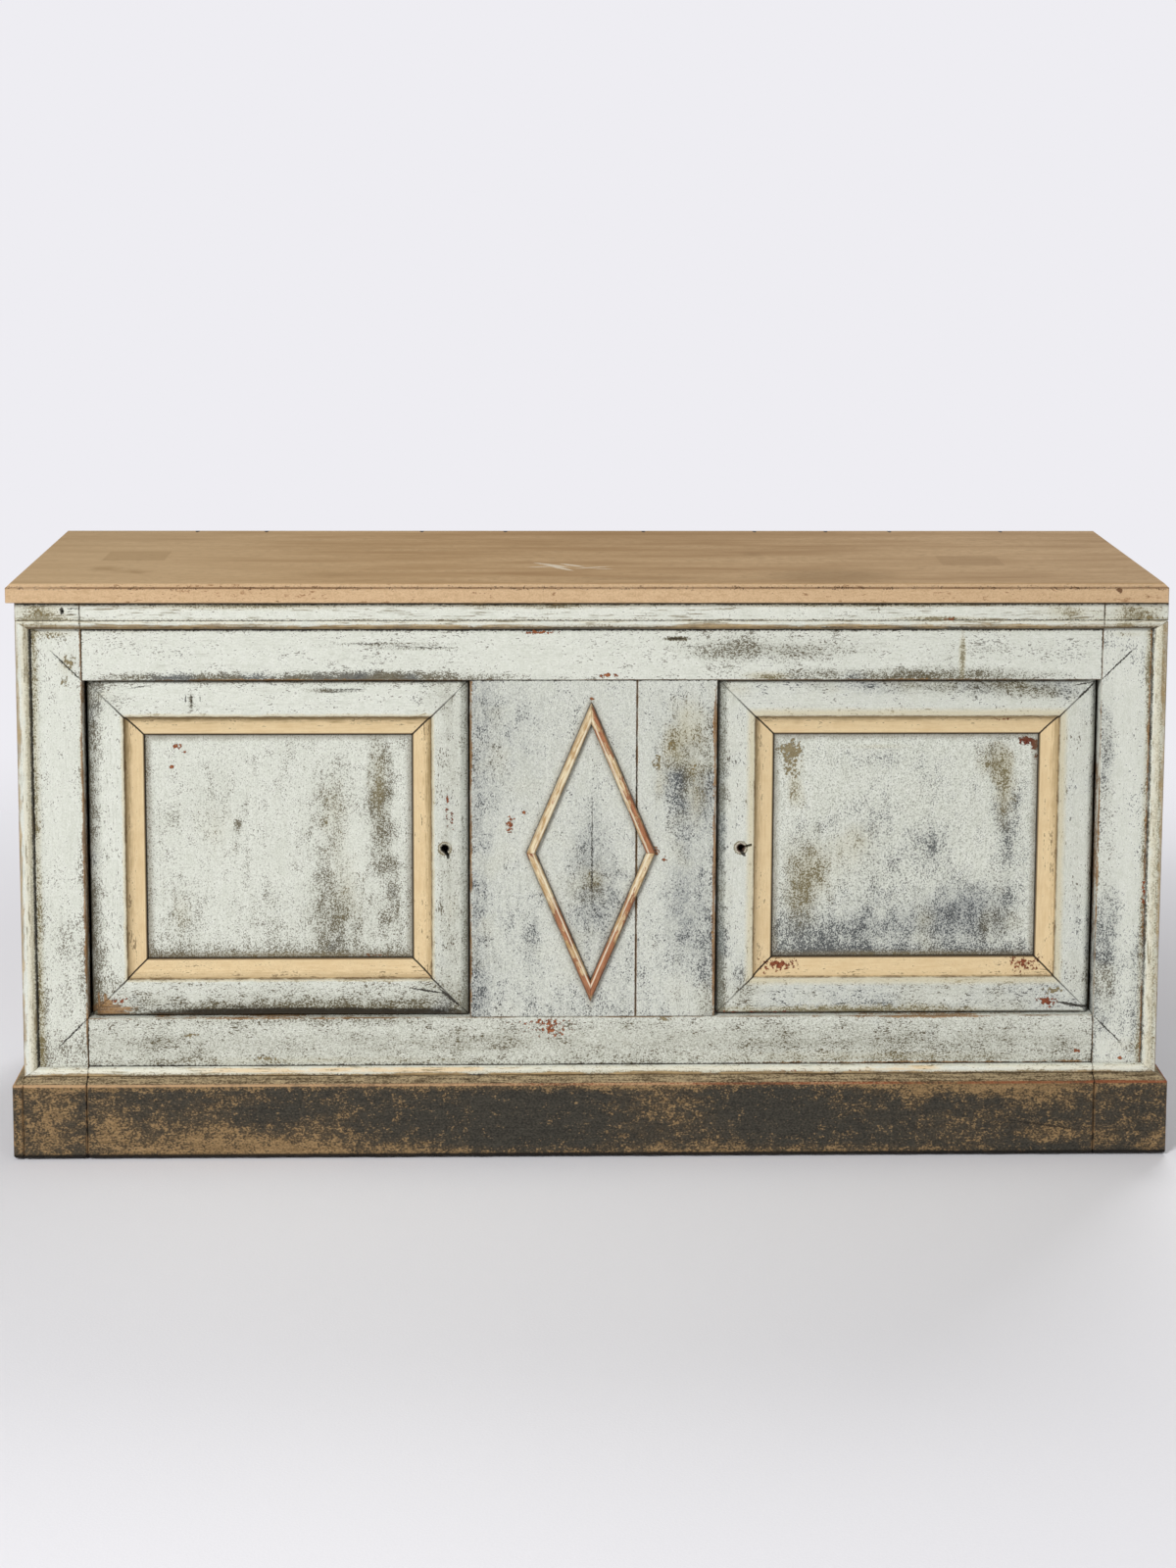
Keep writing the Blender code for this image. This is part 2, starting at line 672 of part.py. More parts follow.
def rear_rail(name, material):
    """Rail between the rear posts, tenoned at both ends."""
    z = REAR_RAILS[name]
    y = (Y_REAR_RAIL, Y_REAR_RAIL + REAR_RAIL_THICKNESS)
    shoulder = X_REAR_POST - SEAT
    rail = block(name, material, (-shoulder, shoulder), y, z)
    tenons = bmesh.new()
    for side in SIDES.values():
        box(tenons, tenon_x(side, shoulder), tenon_y(Y_REAR_TENON), tenon_z(z))
    join(rail, helper(f"{name}_tenons", tenons))


def back_boards(material):
    """Wide boards across the back, in the rebates of the rear posts."""
    height = (Z_CARCASS - SEAT - BACK_BOTTOM) / BACK_BOARD_COUNT
    names = ("lower", "middle", "upper") if BACK_BOARD_COUNT == 3 else range(BACK_BOARD_COUNT)
    reach = X_BACK_BOARDS - SEAT
    for i, name in enumerate(names):
        z = (BACK_BOTTOM + i * height, BACK_BOTTOM + (i + 1) * height - JOINT)
        block(f"back_board_{name}", material, (-reach, reach), (Y_BACK_BOARDS + SEAT, Y_BACK), z)


def notched(x, y_front):
    """Plan of a board that fits round both rear posts and meets the back boards."""
    notch_x = X_REAR_POST - SEAT
    notch_y = Y_REAR_POST - SEAT
    rear = Y_BACK_BOARDS - SEAT
    right = [(x, y_front), (x, notch_y), (notch_x, notch_y), (notch_x, rear)]
    left = [(-px, py) for px, py in reversed(right)]
    return right + left


def cabinet_floor(material):
    """Two boards on the ledge of the bottom front rail and on the bottom rear rail."""
    z = (Z_FLOOR - FLOOR_THICKNESS, Z_FLOOR)
    reach = X_END - END_RAIL_THICKNESS - SEAT
    front = Y_FRAME_BACK + SEAT
    seam = front + FLOOR_FRONT_DEPTH
    block("floor_front_board", material, (-reach, reach), (front, seam), z)
    bm = prism(bmesh.new(), notched(reach, seam + JOINT), "z", *z)
    place("floor_rear_board", bm, material)


def shelf(material):
    """One glued-up shelf, on a cleat at each end."""
    reach = X_PANEL_IN - SEAT
    low = Z_SHELF - SHELF_THICKNESS
    bm = prism(bmesh.new(), notched(reach, Y_FRAME_BACK + SHELF_SETBACK), "z", low, Z_SHELF)
    place("shelf", bm, material)
    for name, side in SIDES.items():
        x = (side * reach, side * (reach - CLEAT_WIDTH))
        y = (Y_FRAME_BACK + SEAT, Y_REAR_POST - SEAT)
        block(f"shelf_{name}_cleat", material, x, y, (low - SEAT - CLEAT_HEIGHT, low - SEAT))


# Stone top


def stone_top(material):
    """A slab with a sloped arris and a small step along the front and both ends."""
    half = X_END + TOP_END_OVERHANG
    front = Y_FRONT - TOP_FRONT_OVERHANG
    rear = Y_BACK + TOP_REAR_OVERHANG
    top = Z_CARCASS + TOP_THICKNESS
    levels = [
        (0.0, Z_CARCASS),
        (0.0, top - TOP_EDGE_FALL - TOP_QUIRK / 2),
        (TOP_QUIRK, top - TOP_EDGE_FALL),
        (TOP_EDGE_RUN + TOP_QUIRK, top),
    ]
    bm = bmesh.new()
    rings = []
    for inset, z in levels:
        left = TOP_SHIFT - half + inset
        right = TOP_SHIFT + half - inset
        corners = [(left, front + inset), (right, front + inset), (right, rear), (left, rear)]
        rings.append([bm.verts.new((x, y, z)) for x, y in corners])
    bm.faces.new(rings[0])
    bm.faces.new(rings[-1])
    for lower, upper in zip(rings, rings[1:]):
        for i in range(4):
            j = (i + 1) % 4
            bm.faces.new((lower[i], lower[j], upper[j], upper[i]))
    place("stone_top", bm, material)


# Doors, pivots and locks


def door_plan(side):
    """Where a door lies: its hinge edge and closing edge, its top and bottom, and its pivot's axis."""
    hinge = side * (X_OPEN - HINGE_GAP)
    closing = side * (X_CENTRE + LOCK_GAP)
    nose = DOOR_THICKNESS / 2
    return {
        "side": side,
        "hinge": hinge,
        "closing": closing,
        "low": Z_OPEN_LOW + DOOR_BOTTOM_GAP,
        "high": Z_OPEN_HIGH - DOOR_TOP_GAP,
        "pivot": (hinge - side * nose, Y_DOOR + nose),
        "keyhole": (closing + side * KEYHOLE_INSET, Z_KEYHOLE),
    }


DOORS = {name: door_plan(side) for name, side in SIDES.items()}
MEMBER_WIDTH = DOOR_FRAME_FACE + DOOR_MOULD_WIDTH
GROOVE_WIDTH = PANEL_THICKNESS + 2 * SEAT
Y_PANEL = Y_DOOR + PANEL_DEPTH
Y_DOOR_BACK = Y_DOOR + DOOR_THICKNESS


def member_section():
    """Section of a door stile or rail: (distance from the door's outer edge, y) points.
    The face falls in a hollow to a lip over the panel, which sits in a groove."""
    points = [(0.0, Y_DOOR), (DOOR_FRAME_FACE, Y_DOOR)]
    hollow_width = DOOR_MOULD_WIDTH - DOOR_MOULD_LIP
    for i in range(CURVE_STEPS + 1):
        turn = math.pi / 2 * i / CURVE_STEPS
        across = DOOR_FRAME_FACE + hollow_width * (1 - math.cos(turn))
        fall = DOOR_MOULD_STEP + (DOOR_MOULD_FALL - DOOR_MOULD_STEP) * math.sin(turn)
        points.append((across, Y_DOOR + fall))
    groove = (Y_PANEL - SEAT, Y_PANEL - SEAT + GROOVE_WIDTH)
    points += [
        (MEMBER_WIDTH, Y_DOOR + DOOR_MOULD_FALL),
        (MEMBER_WIDTH, groove[0]),
        (MEMBER_WIDTH - PANEL_GROOVE, groove[0]),
        (MEMBER_WIDTH - PANEL_GROOVE, groove[1]),
        (MEMBER_WIDTH, groove[1]),
        (MEMBER_WIDTH, Y_DOOR_BACK),
        (0.0, Y_DOOR_BACK),
    ]
    return points


def hinge_cutter(name, door):
    """What is planed off the hinge edge to round it about the pivot, and the holes for the two pins."""
    side, hinge = door["side"], door["hinge"]
    x, y = door["pivot"]
    radius = DOOR_THICKNESS / 2
    out = hinge + side * HINGE_GAP
    arc = []
    for i in range(ROUND_STEPS // 2 + 1):
        turn = math.pi * i / (ROUND_STEPS // 2)
        arc.append((x + side * radius * math.sin(turn), y - radius * math.cos(turn)))
    first = (x, Y_DOOR - DOOR_RECESS)
    last = (x, Y_DOOR_BACK + DOOR_RECESS)
    outline = [first, *arc, last, (out, last[1]), (out, first[1])]
    bm = prism(bmesh.new(), outline, "z", Z_OPEN_LOW, Z_OPEN_HIGH)
    hole = circle(door["pivot"], PIN_RADIUS + SEAT)
    prism(bm, hole, "z", Z_OPEN_LOW, door["low"] + PIN_IN_DOOR + SEAT)
    prism(bm, hole, "z", door["high"] - PIN_IN_DOOR - SEAT, Z_OPEN_HIGH)
    return helper(f"{name}_door_hinge_cuts", bm)


def keyhole(name, door):
    """The round hole and slot for the key, as an outline of (x, z) points."""
    x, z = door["keyhole"]
    half = KEY_SLOT_WIDTH / 2
    opening = math.asin(half / KEYHOLE_RADIUS)
    turn = math.radians(KEY_SLOT_TURN[name] - 90)
    points = []
    for i in range(ROUND_STEPS + 1):
        t = opening + (2 * math.pi - 2 * opening) * i / ROUND_STEPS
        points.append((KEYHOLE_RADIUS * math.cos(t), KEYHOLE_RADIUS * math.sin(t)))
    points += [(KEY_SLOT_LENGTH, -half), (KEY_SLOT_LENGTH, half)]
    c, s = math.cos(turn), math.sin(turn)
    return [(x + c * u - s * v, z + s * u + c * v) for u, v in points]


def closing_cutter(name, door):
    """What is planed off the closing edge, and the keyhole."""
    side, edge = door["side"], door["closing"]
    outline = [
        (edge - side * LOCK_GAP, Y_DOOR - FRAME_MARGIN),
        (edge + side * LOCK_BEVEL_WIDTH * 1.5, Y_DOOR - LOCK_BEVEL_DEPTH / 2),
        (edge - side * LOCK_GAP, Y_DOOR + LOCK_BEVEL_DEPTH * (1 + LOCK_GAP / LOCK_BEVEL_WIDTH)),
    ]
    bm = prism(bmesh.new(), outline, "z", Z_OPEN_LOW, Z_OPEN_HIGH)
    prism(bm, keyhole(name, door), "y", Y_DOOR - DOOR_RECESS, Y_DOOR_BACK + FRAME_MARGIN)
    return helper(f"{name}_door_closing_cuts", bm)


def door_frame(name, door, pivot, material):
    """Two stiles and two rails with a moulded inner edge, mitred at the corners."""
    side, hinge, closing = door["side"], door["hinge"], door["closing"]
    low, high = door["low"], door["high"]
    section = member_section()
    left, right = sorted((hinge, closing))
    half = JOINT / 2
    hinge_cuts = hinge_cutter(name, door)
    closing_cuts = closing_cutter(name, door)

    for stile, edge, inwards, cutter in (
        ("hinge_stile", hinge, -side, hinge_cuts),
        ("lock_stile", closing, side, closing_cuts),
    ):

        def bottom(x, _, edge=edge):
            return low + abs(x - edge) + half

        def top(x, _, edge=edge):
            return high - abs(x - edge) - half

        outline = [(edge + inwards * across, y) for across, y in section]
        bm = prism(bmesh.new(), outline, "z", bottom, top)
        cut(place(f"{name}_door_{stile}", bm, material, pivot), cutter)

    for rail, edge, inwards in (("top_rail", high, -1), ("bottom_rail", low, 1)):

        def near(_, z, edge=edge):
            return left + abs(z - edge) + half

        def far(_, z, edge=edge):
            return right - abs(z - edge) - half

        outline = [(y, edge + inwards * across) for across, y in section]
        bm = prism(bmesh.new(), outline, "x", near, far)
        obj = place(f"{name}_door_{rail}", bm, material, pivot)
        cut(obj, hinge_cuts)
        cut(obj, closing_cuts)

    inset = MEMBER_WIDTH - PANEL_GROOVE + SEAT
    x = (left + inset, right - inset)
    z = (low + inset, high - inset)
    y = (Y_PANEL, Y_PANEL + PANEL_THICKNESS)
    block(f"{name}_door_panel", material, x, y, z, pivot)


def door_pivots(name, door, material):
    """An iron pin in each rail. The lower one has a collar that carries the door."""
    upper = [
        (PIN_RADIUS, door["high"] - PIN_IN_DOOR),
        (PIN_RADIUS, Z_OPEN_HIGH + PIN_IN_RAIL),
    ]
    place(f"{name}_upper_pivot", turned(bmesh.new(), door["pivot"], upper), material)
    lower = [
        (PIN_RADIUS, Z_OPEN_LOW - PIN_IN_RAIL),
        (PIN_RADIUS, Z_OPEN_LOW + SEAT),
        (COLLAR_RADIUS, Z_OPEN_LOW + SEAT),
        (COLLAR_RADIUS, door["low"] - SEAT),
        (PIN_RADIUS, door["low"] - SEAT),
        (PIN_RADIUS, door["low"] + PIN_IN_DOOR),
    ]
    place(f"{name}_lower_pivot", turned(bmesh.new(), door["pivot"], lower), material)


def lock(name, door, pivot, material):
    """A rim lock on the door's back: an iron case with a drill pin for the key, and a sliding bolt.
    The bolt catches behind the centre boards."""
    side, edge = door["side"], door["closing"]
    end = edge + side * LOCK_INSET
    key_x, key_z = door["keyhole"]
    y = (Y_DOOR_BACK + SEAT, Y_DOOR_BACK + SEAT + LOCK_DEPTH)
    z = (key_z - LOCK_HEIGHT / 2, key_z + LOCK_HEIGHT / 2)
    far = end + side * LOCK_LENGTH
    case = block(f"{name}_lock_case", material, (end, far), y, z, pivot)
    room = box(
        bmesh.new(),
        (end + side * LOCK_PLATE, far - side * LOCK_PLATE),
        (y[0] - FRAME_MARGIN, y[1] - LOCK_PLATE),
        (z[0] + LOCK_PLATE, z[1] - LOCK_PLATE),
    )
    cut(case, helper(f"{name}_lock_room", room))
    bolt_y = y[0] + (LOCK_DEPTH - LOCK_PLATE - BOLT_THICKNESS) / 2
    bolt_y = (bolt_y, bolt_y + BOLT_THICKNESS)
    bolt_z = (key_z + BOLT_ABOVE_KEY, key_z + BOLT_ABOVE_KEY + BOLT_HEIGHT)
    mouth = (end - side * FRAME_MARGIN, end + side * (LOCK_PLATE + FRAME_MARGIN))
    cut(case, helper(f"{name}_lock_mouth", box(bmesh.new(), mouth, grown(bolt_y), grown(bolt_z))))
    drill_pin = prism(
        bmesh.new(),
        circle((key_x, key_z), DRILL_PIN_RADIUS, ROUND_STEPS // 2),
        "y",
        y[0] - DRILL_PIN_REACH,
        y[1] - LOCK_PLATE / 2,
    )
    join(case, helper(f"{name}_drill_pin", drill_pin))
    talon = end + side * BOLT_LENGTH / 2
    outline = [
        (end, bolt_z[0]),
        (talon - side * TALON_WIDTH / 2, bolt_z[0]),
        (talon - side * TALON_WIDTH / 2, bolt_z[0] + TALON_DEPTH),
        (talon + side * TALON_WIDTH / 2, bolt_z[0] + TALON_DEPTH),
        (talon + side * TALON_WIDTH / 2, bolt_z[0]),
        (end + side * BOLT_LENGTH, bolt_z[0]),
        (end + side * BOLT_LENGTH, bolt_z[1]),
        (end, bolt_z[1]),
    ]
    place(f"{name}_lock_bolt", prism(bmesh.new(), outline, "y", *bolt_y), material, pivot)


def doors(paint, iron):
    for name, door in DOORS.items():
        pivot = bpy.data.objects.new(f"{name}_door_axis", None)
        bpy.context.scene.collection.objects.link(pivot)
        pivot.location = (*door["pivot"], 0)
        door_frame(name, door, pivot, paint)
        door_pivots(name, door, iron)
        lock(name, door, pivot, iron)


def main():
    for obj in list(bpy.data.objects):
        bpy.data.objects.remove(obj)
    paint = bare_material("grey_green_paint", (0.66, 0.69, 0.63), 0.7)
    cream = bare_material("cream_paint", (0.72, 0.53, 0.31), 0.65)
    dark = bare_material("dark_plinth_paint", (0.07, 0.065, 0.055), 0.75)
    raw = bare_material("bare_wood", (0.34, 0.22, 0.12), 0.8)
    stone = bare_material("limestone", (0.56, 0.40, 0.25), 0.5)
    iron = bare_material("old_iron", (0.08, 0.06, 0.05), 0.6, 0.9)

    for name, side in SIDES.items():
        front_post(name, side, paint)
        edge_moulding(name, side, paint)
        rear_post(name, side, paint)
        end_frame(name, side, paint)
    for name in FRONT_RAILS:
        front_rail(name, paint)
    for name in CENTRE_BOARDS:
        centre_board(name, paint)
    fascia(paint)
    base_moulding(paint)
    lozenge(cream)
    plinth(dark)
    for name in REAR_RAILS:
        rear_rail(name, raw)
    back_boards(raw)
    cabinet_floor(raw)
    shelf(raw)
    doors(paint, iron)
    stone_top(stone)
    finish_pieces()


main()
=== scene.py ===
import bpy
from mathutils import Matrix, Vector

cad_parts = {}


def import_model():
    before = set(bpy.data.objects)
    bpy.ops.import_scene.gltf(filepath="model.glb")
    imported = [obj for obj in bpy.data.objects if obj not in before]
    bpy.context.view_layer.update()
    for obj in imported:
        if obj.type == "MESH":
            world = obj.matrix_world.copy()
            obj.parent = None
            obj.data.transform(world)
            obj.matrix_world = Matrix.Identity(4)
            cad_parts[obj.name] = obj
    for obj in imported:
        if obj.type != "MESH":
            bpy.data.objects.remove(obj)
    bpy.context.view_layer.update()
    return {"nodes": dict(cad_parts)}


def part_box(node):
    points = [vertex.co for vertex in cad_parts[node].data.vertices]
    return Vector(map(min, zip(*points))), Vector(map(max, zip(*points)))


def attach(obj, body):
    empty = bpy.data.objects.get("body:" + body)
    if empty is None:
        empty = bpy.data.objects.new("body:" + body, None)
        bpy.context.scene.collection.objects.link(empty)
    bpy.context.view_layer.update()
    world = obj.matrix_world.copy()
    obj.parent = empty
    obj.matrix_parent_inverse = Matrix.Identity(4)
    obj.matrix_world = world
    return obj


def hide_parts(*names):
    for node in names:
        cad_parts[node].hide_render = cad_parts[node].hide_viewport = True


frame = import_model()

import math
from functools import partial

import bmesh
import bpy
from mathutils import Matrix, Vector, noise

# Boards inside the cabinet
# Floor boards, shelf, cleats and rear rails: plain softwood, sawn and planed by hand, never painted.
# They are tenoned or nailed between the posts, and have gone brown with age and use.
X, Y, Z = 0, 1, 2


def linear(colour):
    """A colour in 0 to 255 steps, as a screen shows it, in the renderer's light units."""
    steps = [step / 255 for step in colour]
    return [*(s / 12.92 if s <= 0.04045 else ((s + 0.055) / 1.055) ** 2.4 for s in steps), 1.0]


def put(tree, value, place):
    """Joins a field or socket to a node's input, or sets the input to a value."""
    if isinstance(value, Field):
        value = value.socket
    if isinstance(value, bpy.types.NodeSocket):
        tree.links.new(value, place)
    else:
        place.default_value = value


def add_node(tree, kind, inputs, **settings):
    """A new node with its inputs and settings put in; gives its outputs."""
    node = tree.nodes.new(kind)
    for key, value in settings.items():
        setattr(node, key, value)
    for key, value in inputs.items():
        put(tree, value, node.inputs[key])
    return node.outputs


def add_object(name, data):
    """A new object in the scene."""
    made = bpy.data.objects.new(name, data)
    bpy.context.scene.collection.objects.link(made)
    return made


class Mixed:
    """Something that is made up in a node tree."""

    def field(self, kind, output, inputs, **settings):
        """One output of a new node, as a field."""
        return Field(self.tree, add_node(self.tree, kind, inputs, **settings)[output])


class Field(Mixed):
    """A number or colour that changes over a surface: one socket of a finish's node tree."""

    def __init__(self, tree, socket):
        self.tree = tree
        self.socket = socket

    def reckon(self, operation, *others):
        return self.field("ShaderNodeMath", 0, dict(enumerate((self, *others))), operation=operation)

    def __add__(self, other):
        return self.reckon("ADD", other)

    def __sub__(self, other):
        return self.reckon("SUBTRACT", other)

    def __mul__(self, other):
        return self.reckon("MULTIPLY", other)

    def size(self):
        return self.reckon("ABSOLUTE")

    def length(self):
        return self.field("ShaderNodeVectorMath", "Value", {0: self}, operation="LENGTH")

    def least(self, other):
        return self.reckon("MINIMUM", other)

    def most(self, other):
        return self.reckon("MAXIMUM", other)

    def rise(self, low, high):
        """0 as far as low, 1 from high on, smooth between. It falls where high is below low."""
        inputs = {"From Min": low, "From Max": high, "Value": self}
        return self.field("ShaderNodeMapRange", "Result", inputs, interpolation_type="SMOOTHSTEP")


class Finish(Mixed):
    """A finish as it is mixed: its node tree, and the place on the piece in metres."""

    def __init__(self, name):
        self.material = bpy.data.materials.new(name)
        self.material.use_nodes = True
        self.tree = self.material.node_tree
        self.shader = self.tree.nodes["Principled BSDF"]
        self.place = self.field("ShaderNodeTexCoord", "Object", {})
        split = add_node(self.tree, "ShaderNodeSeparateXYZ", {0: self.place})
        self.x, self.y, self.z = (Field(self.tree, socket) for socket in split)
        self.arris = self.field("ShaderNodeAttribute", "Fac", {}, attribute_name="arris")
        self.ragged = {}

    def laid(self, place, middle, size, turn=0.0, about=Y):
        """The place measured from middle, in units of size, with size turned by so many degrees."""
        turned = [0, 0, 0]
        turned[about] = math.radians(turn)
        inputs = {"Vector": place, "Location": middle, "Rotation": turned, "Scale": size}
        return self.field("ShaderNodeMapping", 0, inputs, vector_type="TEXTURE")

    def clouds(self, size, stretch=(1, 1, 1), detail=2, rough=0.5, shift=0.0, turn=0.0):
        """Random patches about size metres wide, drawn out along the axes by stretch."""
        scale = [size * s for s in stretch]
        place = self.laid(self.place, (shift, shift * 0.7, shift * 1.3), scale, turn)
        inputs = {"Vector": place, "Scale": 1, "Detail": detail, "Roughness": rough}
        return self.field("ShaderNodeTexNoise", "Fac", inputs)

    def strayed(self, by):
        """The place, put out of line by up to that many metres, which makes the edge of a mark ragged."""
        if by not in self.ragged:
            inputs = {"Vector": self.place, "Scale": 0.4 / by, "Detail": 3}
            shake = self.field("ShaderNodeTexNoise", "Color", inputs)
            inputs = {0: shake, 1: [by * 4] * 3, 2: [-by * 2] * 3}
            push = self.field("ShaderNodeVectorMath", 0, inputs, operation="MULTIPLY_ADD")
            inputs = {0: self.place, 1: push}
            self.ragged[by] = self.field("ShaderNodeVectorMath", 0, inputs, operation="ADD")
        return self.ragged[by]

    def marks(self, places, flat=Y):
        """Soft ovals, added up: middle, half sizes, strength, and degrees if turned, for each.
        Middle and half sizes leave out the axis that the surface is flat across."""
        total = None
        for first, second, wide, high, strength, *turn in places:
            middle = [first, second]
            middle.insert(flat, 0)
            size = [wide, high]
            size.insert(flat, 1000)
            narrow = min(wide, high)
            ragged = 0.012 if narrow > 0.03 else 0.005 if narrow > 0.012 else 0.0015
            place = self.laid(self.strayed(ragged), middle, size, *turn or (0,), flat)
            oval = self.field("ShaderNodeTexGradient", "Fac", {"Vector": place}, gradient_type="SPHERICAL")
            mark = oval * strength
            total = total + mark if total else mark
        return total

    def patches(self, places, ragged, low, high):
        """Marks broken up by the field ragged, and none outside their ovals."""
        marked = self.marks(places)
        return (marked + ragged).rise(low, high) * marked.rise(0.0, 0.12)

    def coat(self, under, over, amount):
        """Colour over laid on colour under, as far as amount says."""
        under, over = (c if isinstance(c, Field) else linear(c) for c in (under, over))
        return self.field("ShaderNodeMix", 2, {0: amount, 6: under, 7: over}, data_type="RGBA")

    def lay(self, over, amount):
        """Lays a colour on the finish as it is so far."""
        self.colour = self.coat(self.colour, over, amount)

    def close(self, rough, height, depth):
        """Joins the finish to the shader: its relief is depth metres deep."""
        bump = self.field("ShaderNodeBump", "Normal", {"Strength": 1, "Distance": depth, "Height": height})
        for key, value in (("Base Color", self.colour), ("Roughness", rough), ("Normal", bump)):
            put(self.tree, value, self.shader.inputs[key])
        return self.material


def drawn_out(grain, length):
    """Stretch of length along the grain's axis."""
    stretch = [1, 1, 1]
    stretch[grain] = length
    return stretch


def bare_wood(f, grain, board=0.0):
    """Colour and relief of old unpainted softwood; each number for board gives another grain."""
    pale, deep = (166, 130, 88), (104, 76, 48)
    lines = f.clouds(0.0045, drawn_out(grain, 30), detail=3, rough=0.6, shift=board)
    bands = f.clouds(0.035, drawn_out(grain, 9), detail=3, shift=board + 3.1)
    darkening = f.clouds(0.16, detail=4, rough=0.6, shift=board + 7.7)
    colour = f.coat(deep, pale, (lines * 0.9 + bands * 0.9).rise(0.6, 1.2))
    colour = f.coat(colour, (72, 56, 40), darkening.rise(0.5, 0.75) * 0.6)
    return colour, lines


def wood_finish(name, grain, board=0.0):
    f = Finish(name)
    f.colour, lines = bare_wood(f, grain, board)
    f.lay((58, 44, 31), f.arris * 0.55)
    return f.close(lines.rise(0.3, 0.8) * 0.2 + 0.65, lines, 0.0004)


SHARP_ANGLE, SMOOTH_ANGLE = 0.6, 0.45


def worn_piece(
    node, material, body="carcass", arris=0.0015, pitch=0.04, rub=0.0008
):
    """A copy of a piece with its outer arrises rubbed round, unevenly, as use leaves them."""
    low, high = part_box(node)
    extent = high - low
    length = max(range(3), key=lambda i: extent[i])
    shape = bmesh.new()
    shape.from_mesh(frame["nodes"][node].data)
    layer = shape.faces.layers.float.new("arris")
    bmesh.ops.remove_doubles(shape, verts=shape.verts, dist=1e-6)
    bmesh.ops.dissolve_limit(shape, angle_limit=0.01, verts=shape.verts, edges=shape.edges)
    across = Vector((0, 0, 0))
    across[length] = 1
    steps = int(extent[length] / pitch)
    for i in range(1, steps):
        along = low[length] + extent[length] * i / steps
        stray = 0.3 * pitch * noise.noise((along * 31, low.x * 7, low.z * 5))
        everything = [*shape.verts, *shape.edges, *shape.faces]
        bmesh.ops.bisect_plane(shape, geom=everything, plane_co=across * (along + stray), plane_no=across)

    def is_arris(edge):
        walls = 0
        for i in range(3):
            for wall in (low[i], high[i]):
                walls += all(abs(v.co[i] - wall) < 1e-4 for v in edge.verts)
        return walls > 1 and edge.is_manifold and edge.calc_face_angle() > SHARP_ANGLE

    edges = [edge for edge in shape.edges if is_arris(edge)]
    rounded = bmesh.ops.bevel(
        shape, geom=edges, offset=arris, offset_type="OFFSET", segments=2, profile=0.5, affect="EDGES"
    )
    shape.normal_update()
    for vert in rounded["verts"]:
        push = vert.normal * rub * max(0.0, 0.3 + noise.noise(vert.co * 23))
        for i in range(3):
            if min(vert.co[i] - low[i], high[i] - vert.co[i]) < 1e-5:
                push[i] = 0
        vert.co -= push * 1.5
    for face in rounded["faces"]:
        face[layer] = 1
    shape.normal_update()
    for face in shape.faces:
        face.smooth = True
    for edge in shape.edges:
        kinds = {face[layer] for face in edge.link_faces}
        edge.smooth = len(kinds) == 1 and edge.calc_face_angle(9) < SMOOTH_ANGLE
    mesh = bpy.data.meshes.new(node)
    shape.to_mesh(mesh)
    shape.free()
    mesh.materials.append(material)
    piece = add_object(f"{node}_worn", mesh)
    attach(piece, body)
    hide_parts(node)


bare_along = wood_finish("bare_wood_along", X)
for node in ("floor_front_board", "floor_rear_board", "shelf", "top_rear_rail", "bottom_rear_rail"):
    worn_piece(node, bare_along, pitch=0.06)
bare_deep = wood_finish("bare_wood_front_to_back", Y)
for node in ("shelf_left_cleat", "shelf_right_cleat"):
    worn_piece(node, bare_deep)

# Corner posts of the front
# Two softwood posts from floor to slab, with a false mitre scribed from each corner of the door openings.
# Matt grey-green paint over a dark coat, rubbed through in specks and to brown wood at the inner arris.
FRONT_BACK = -0.236
END_SKIN = (0.981, 0.984)


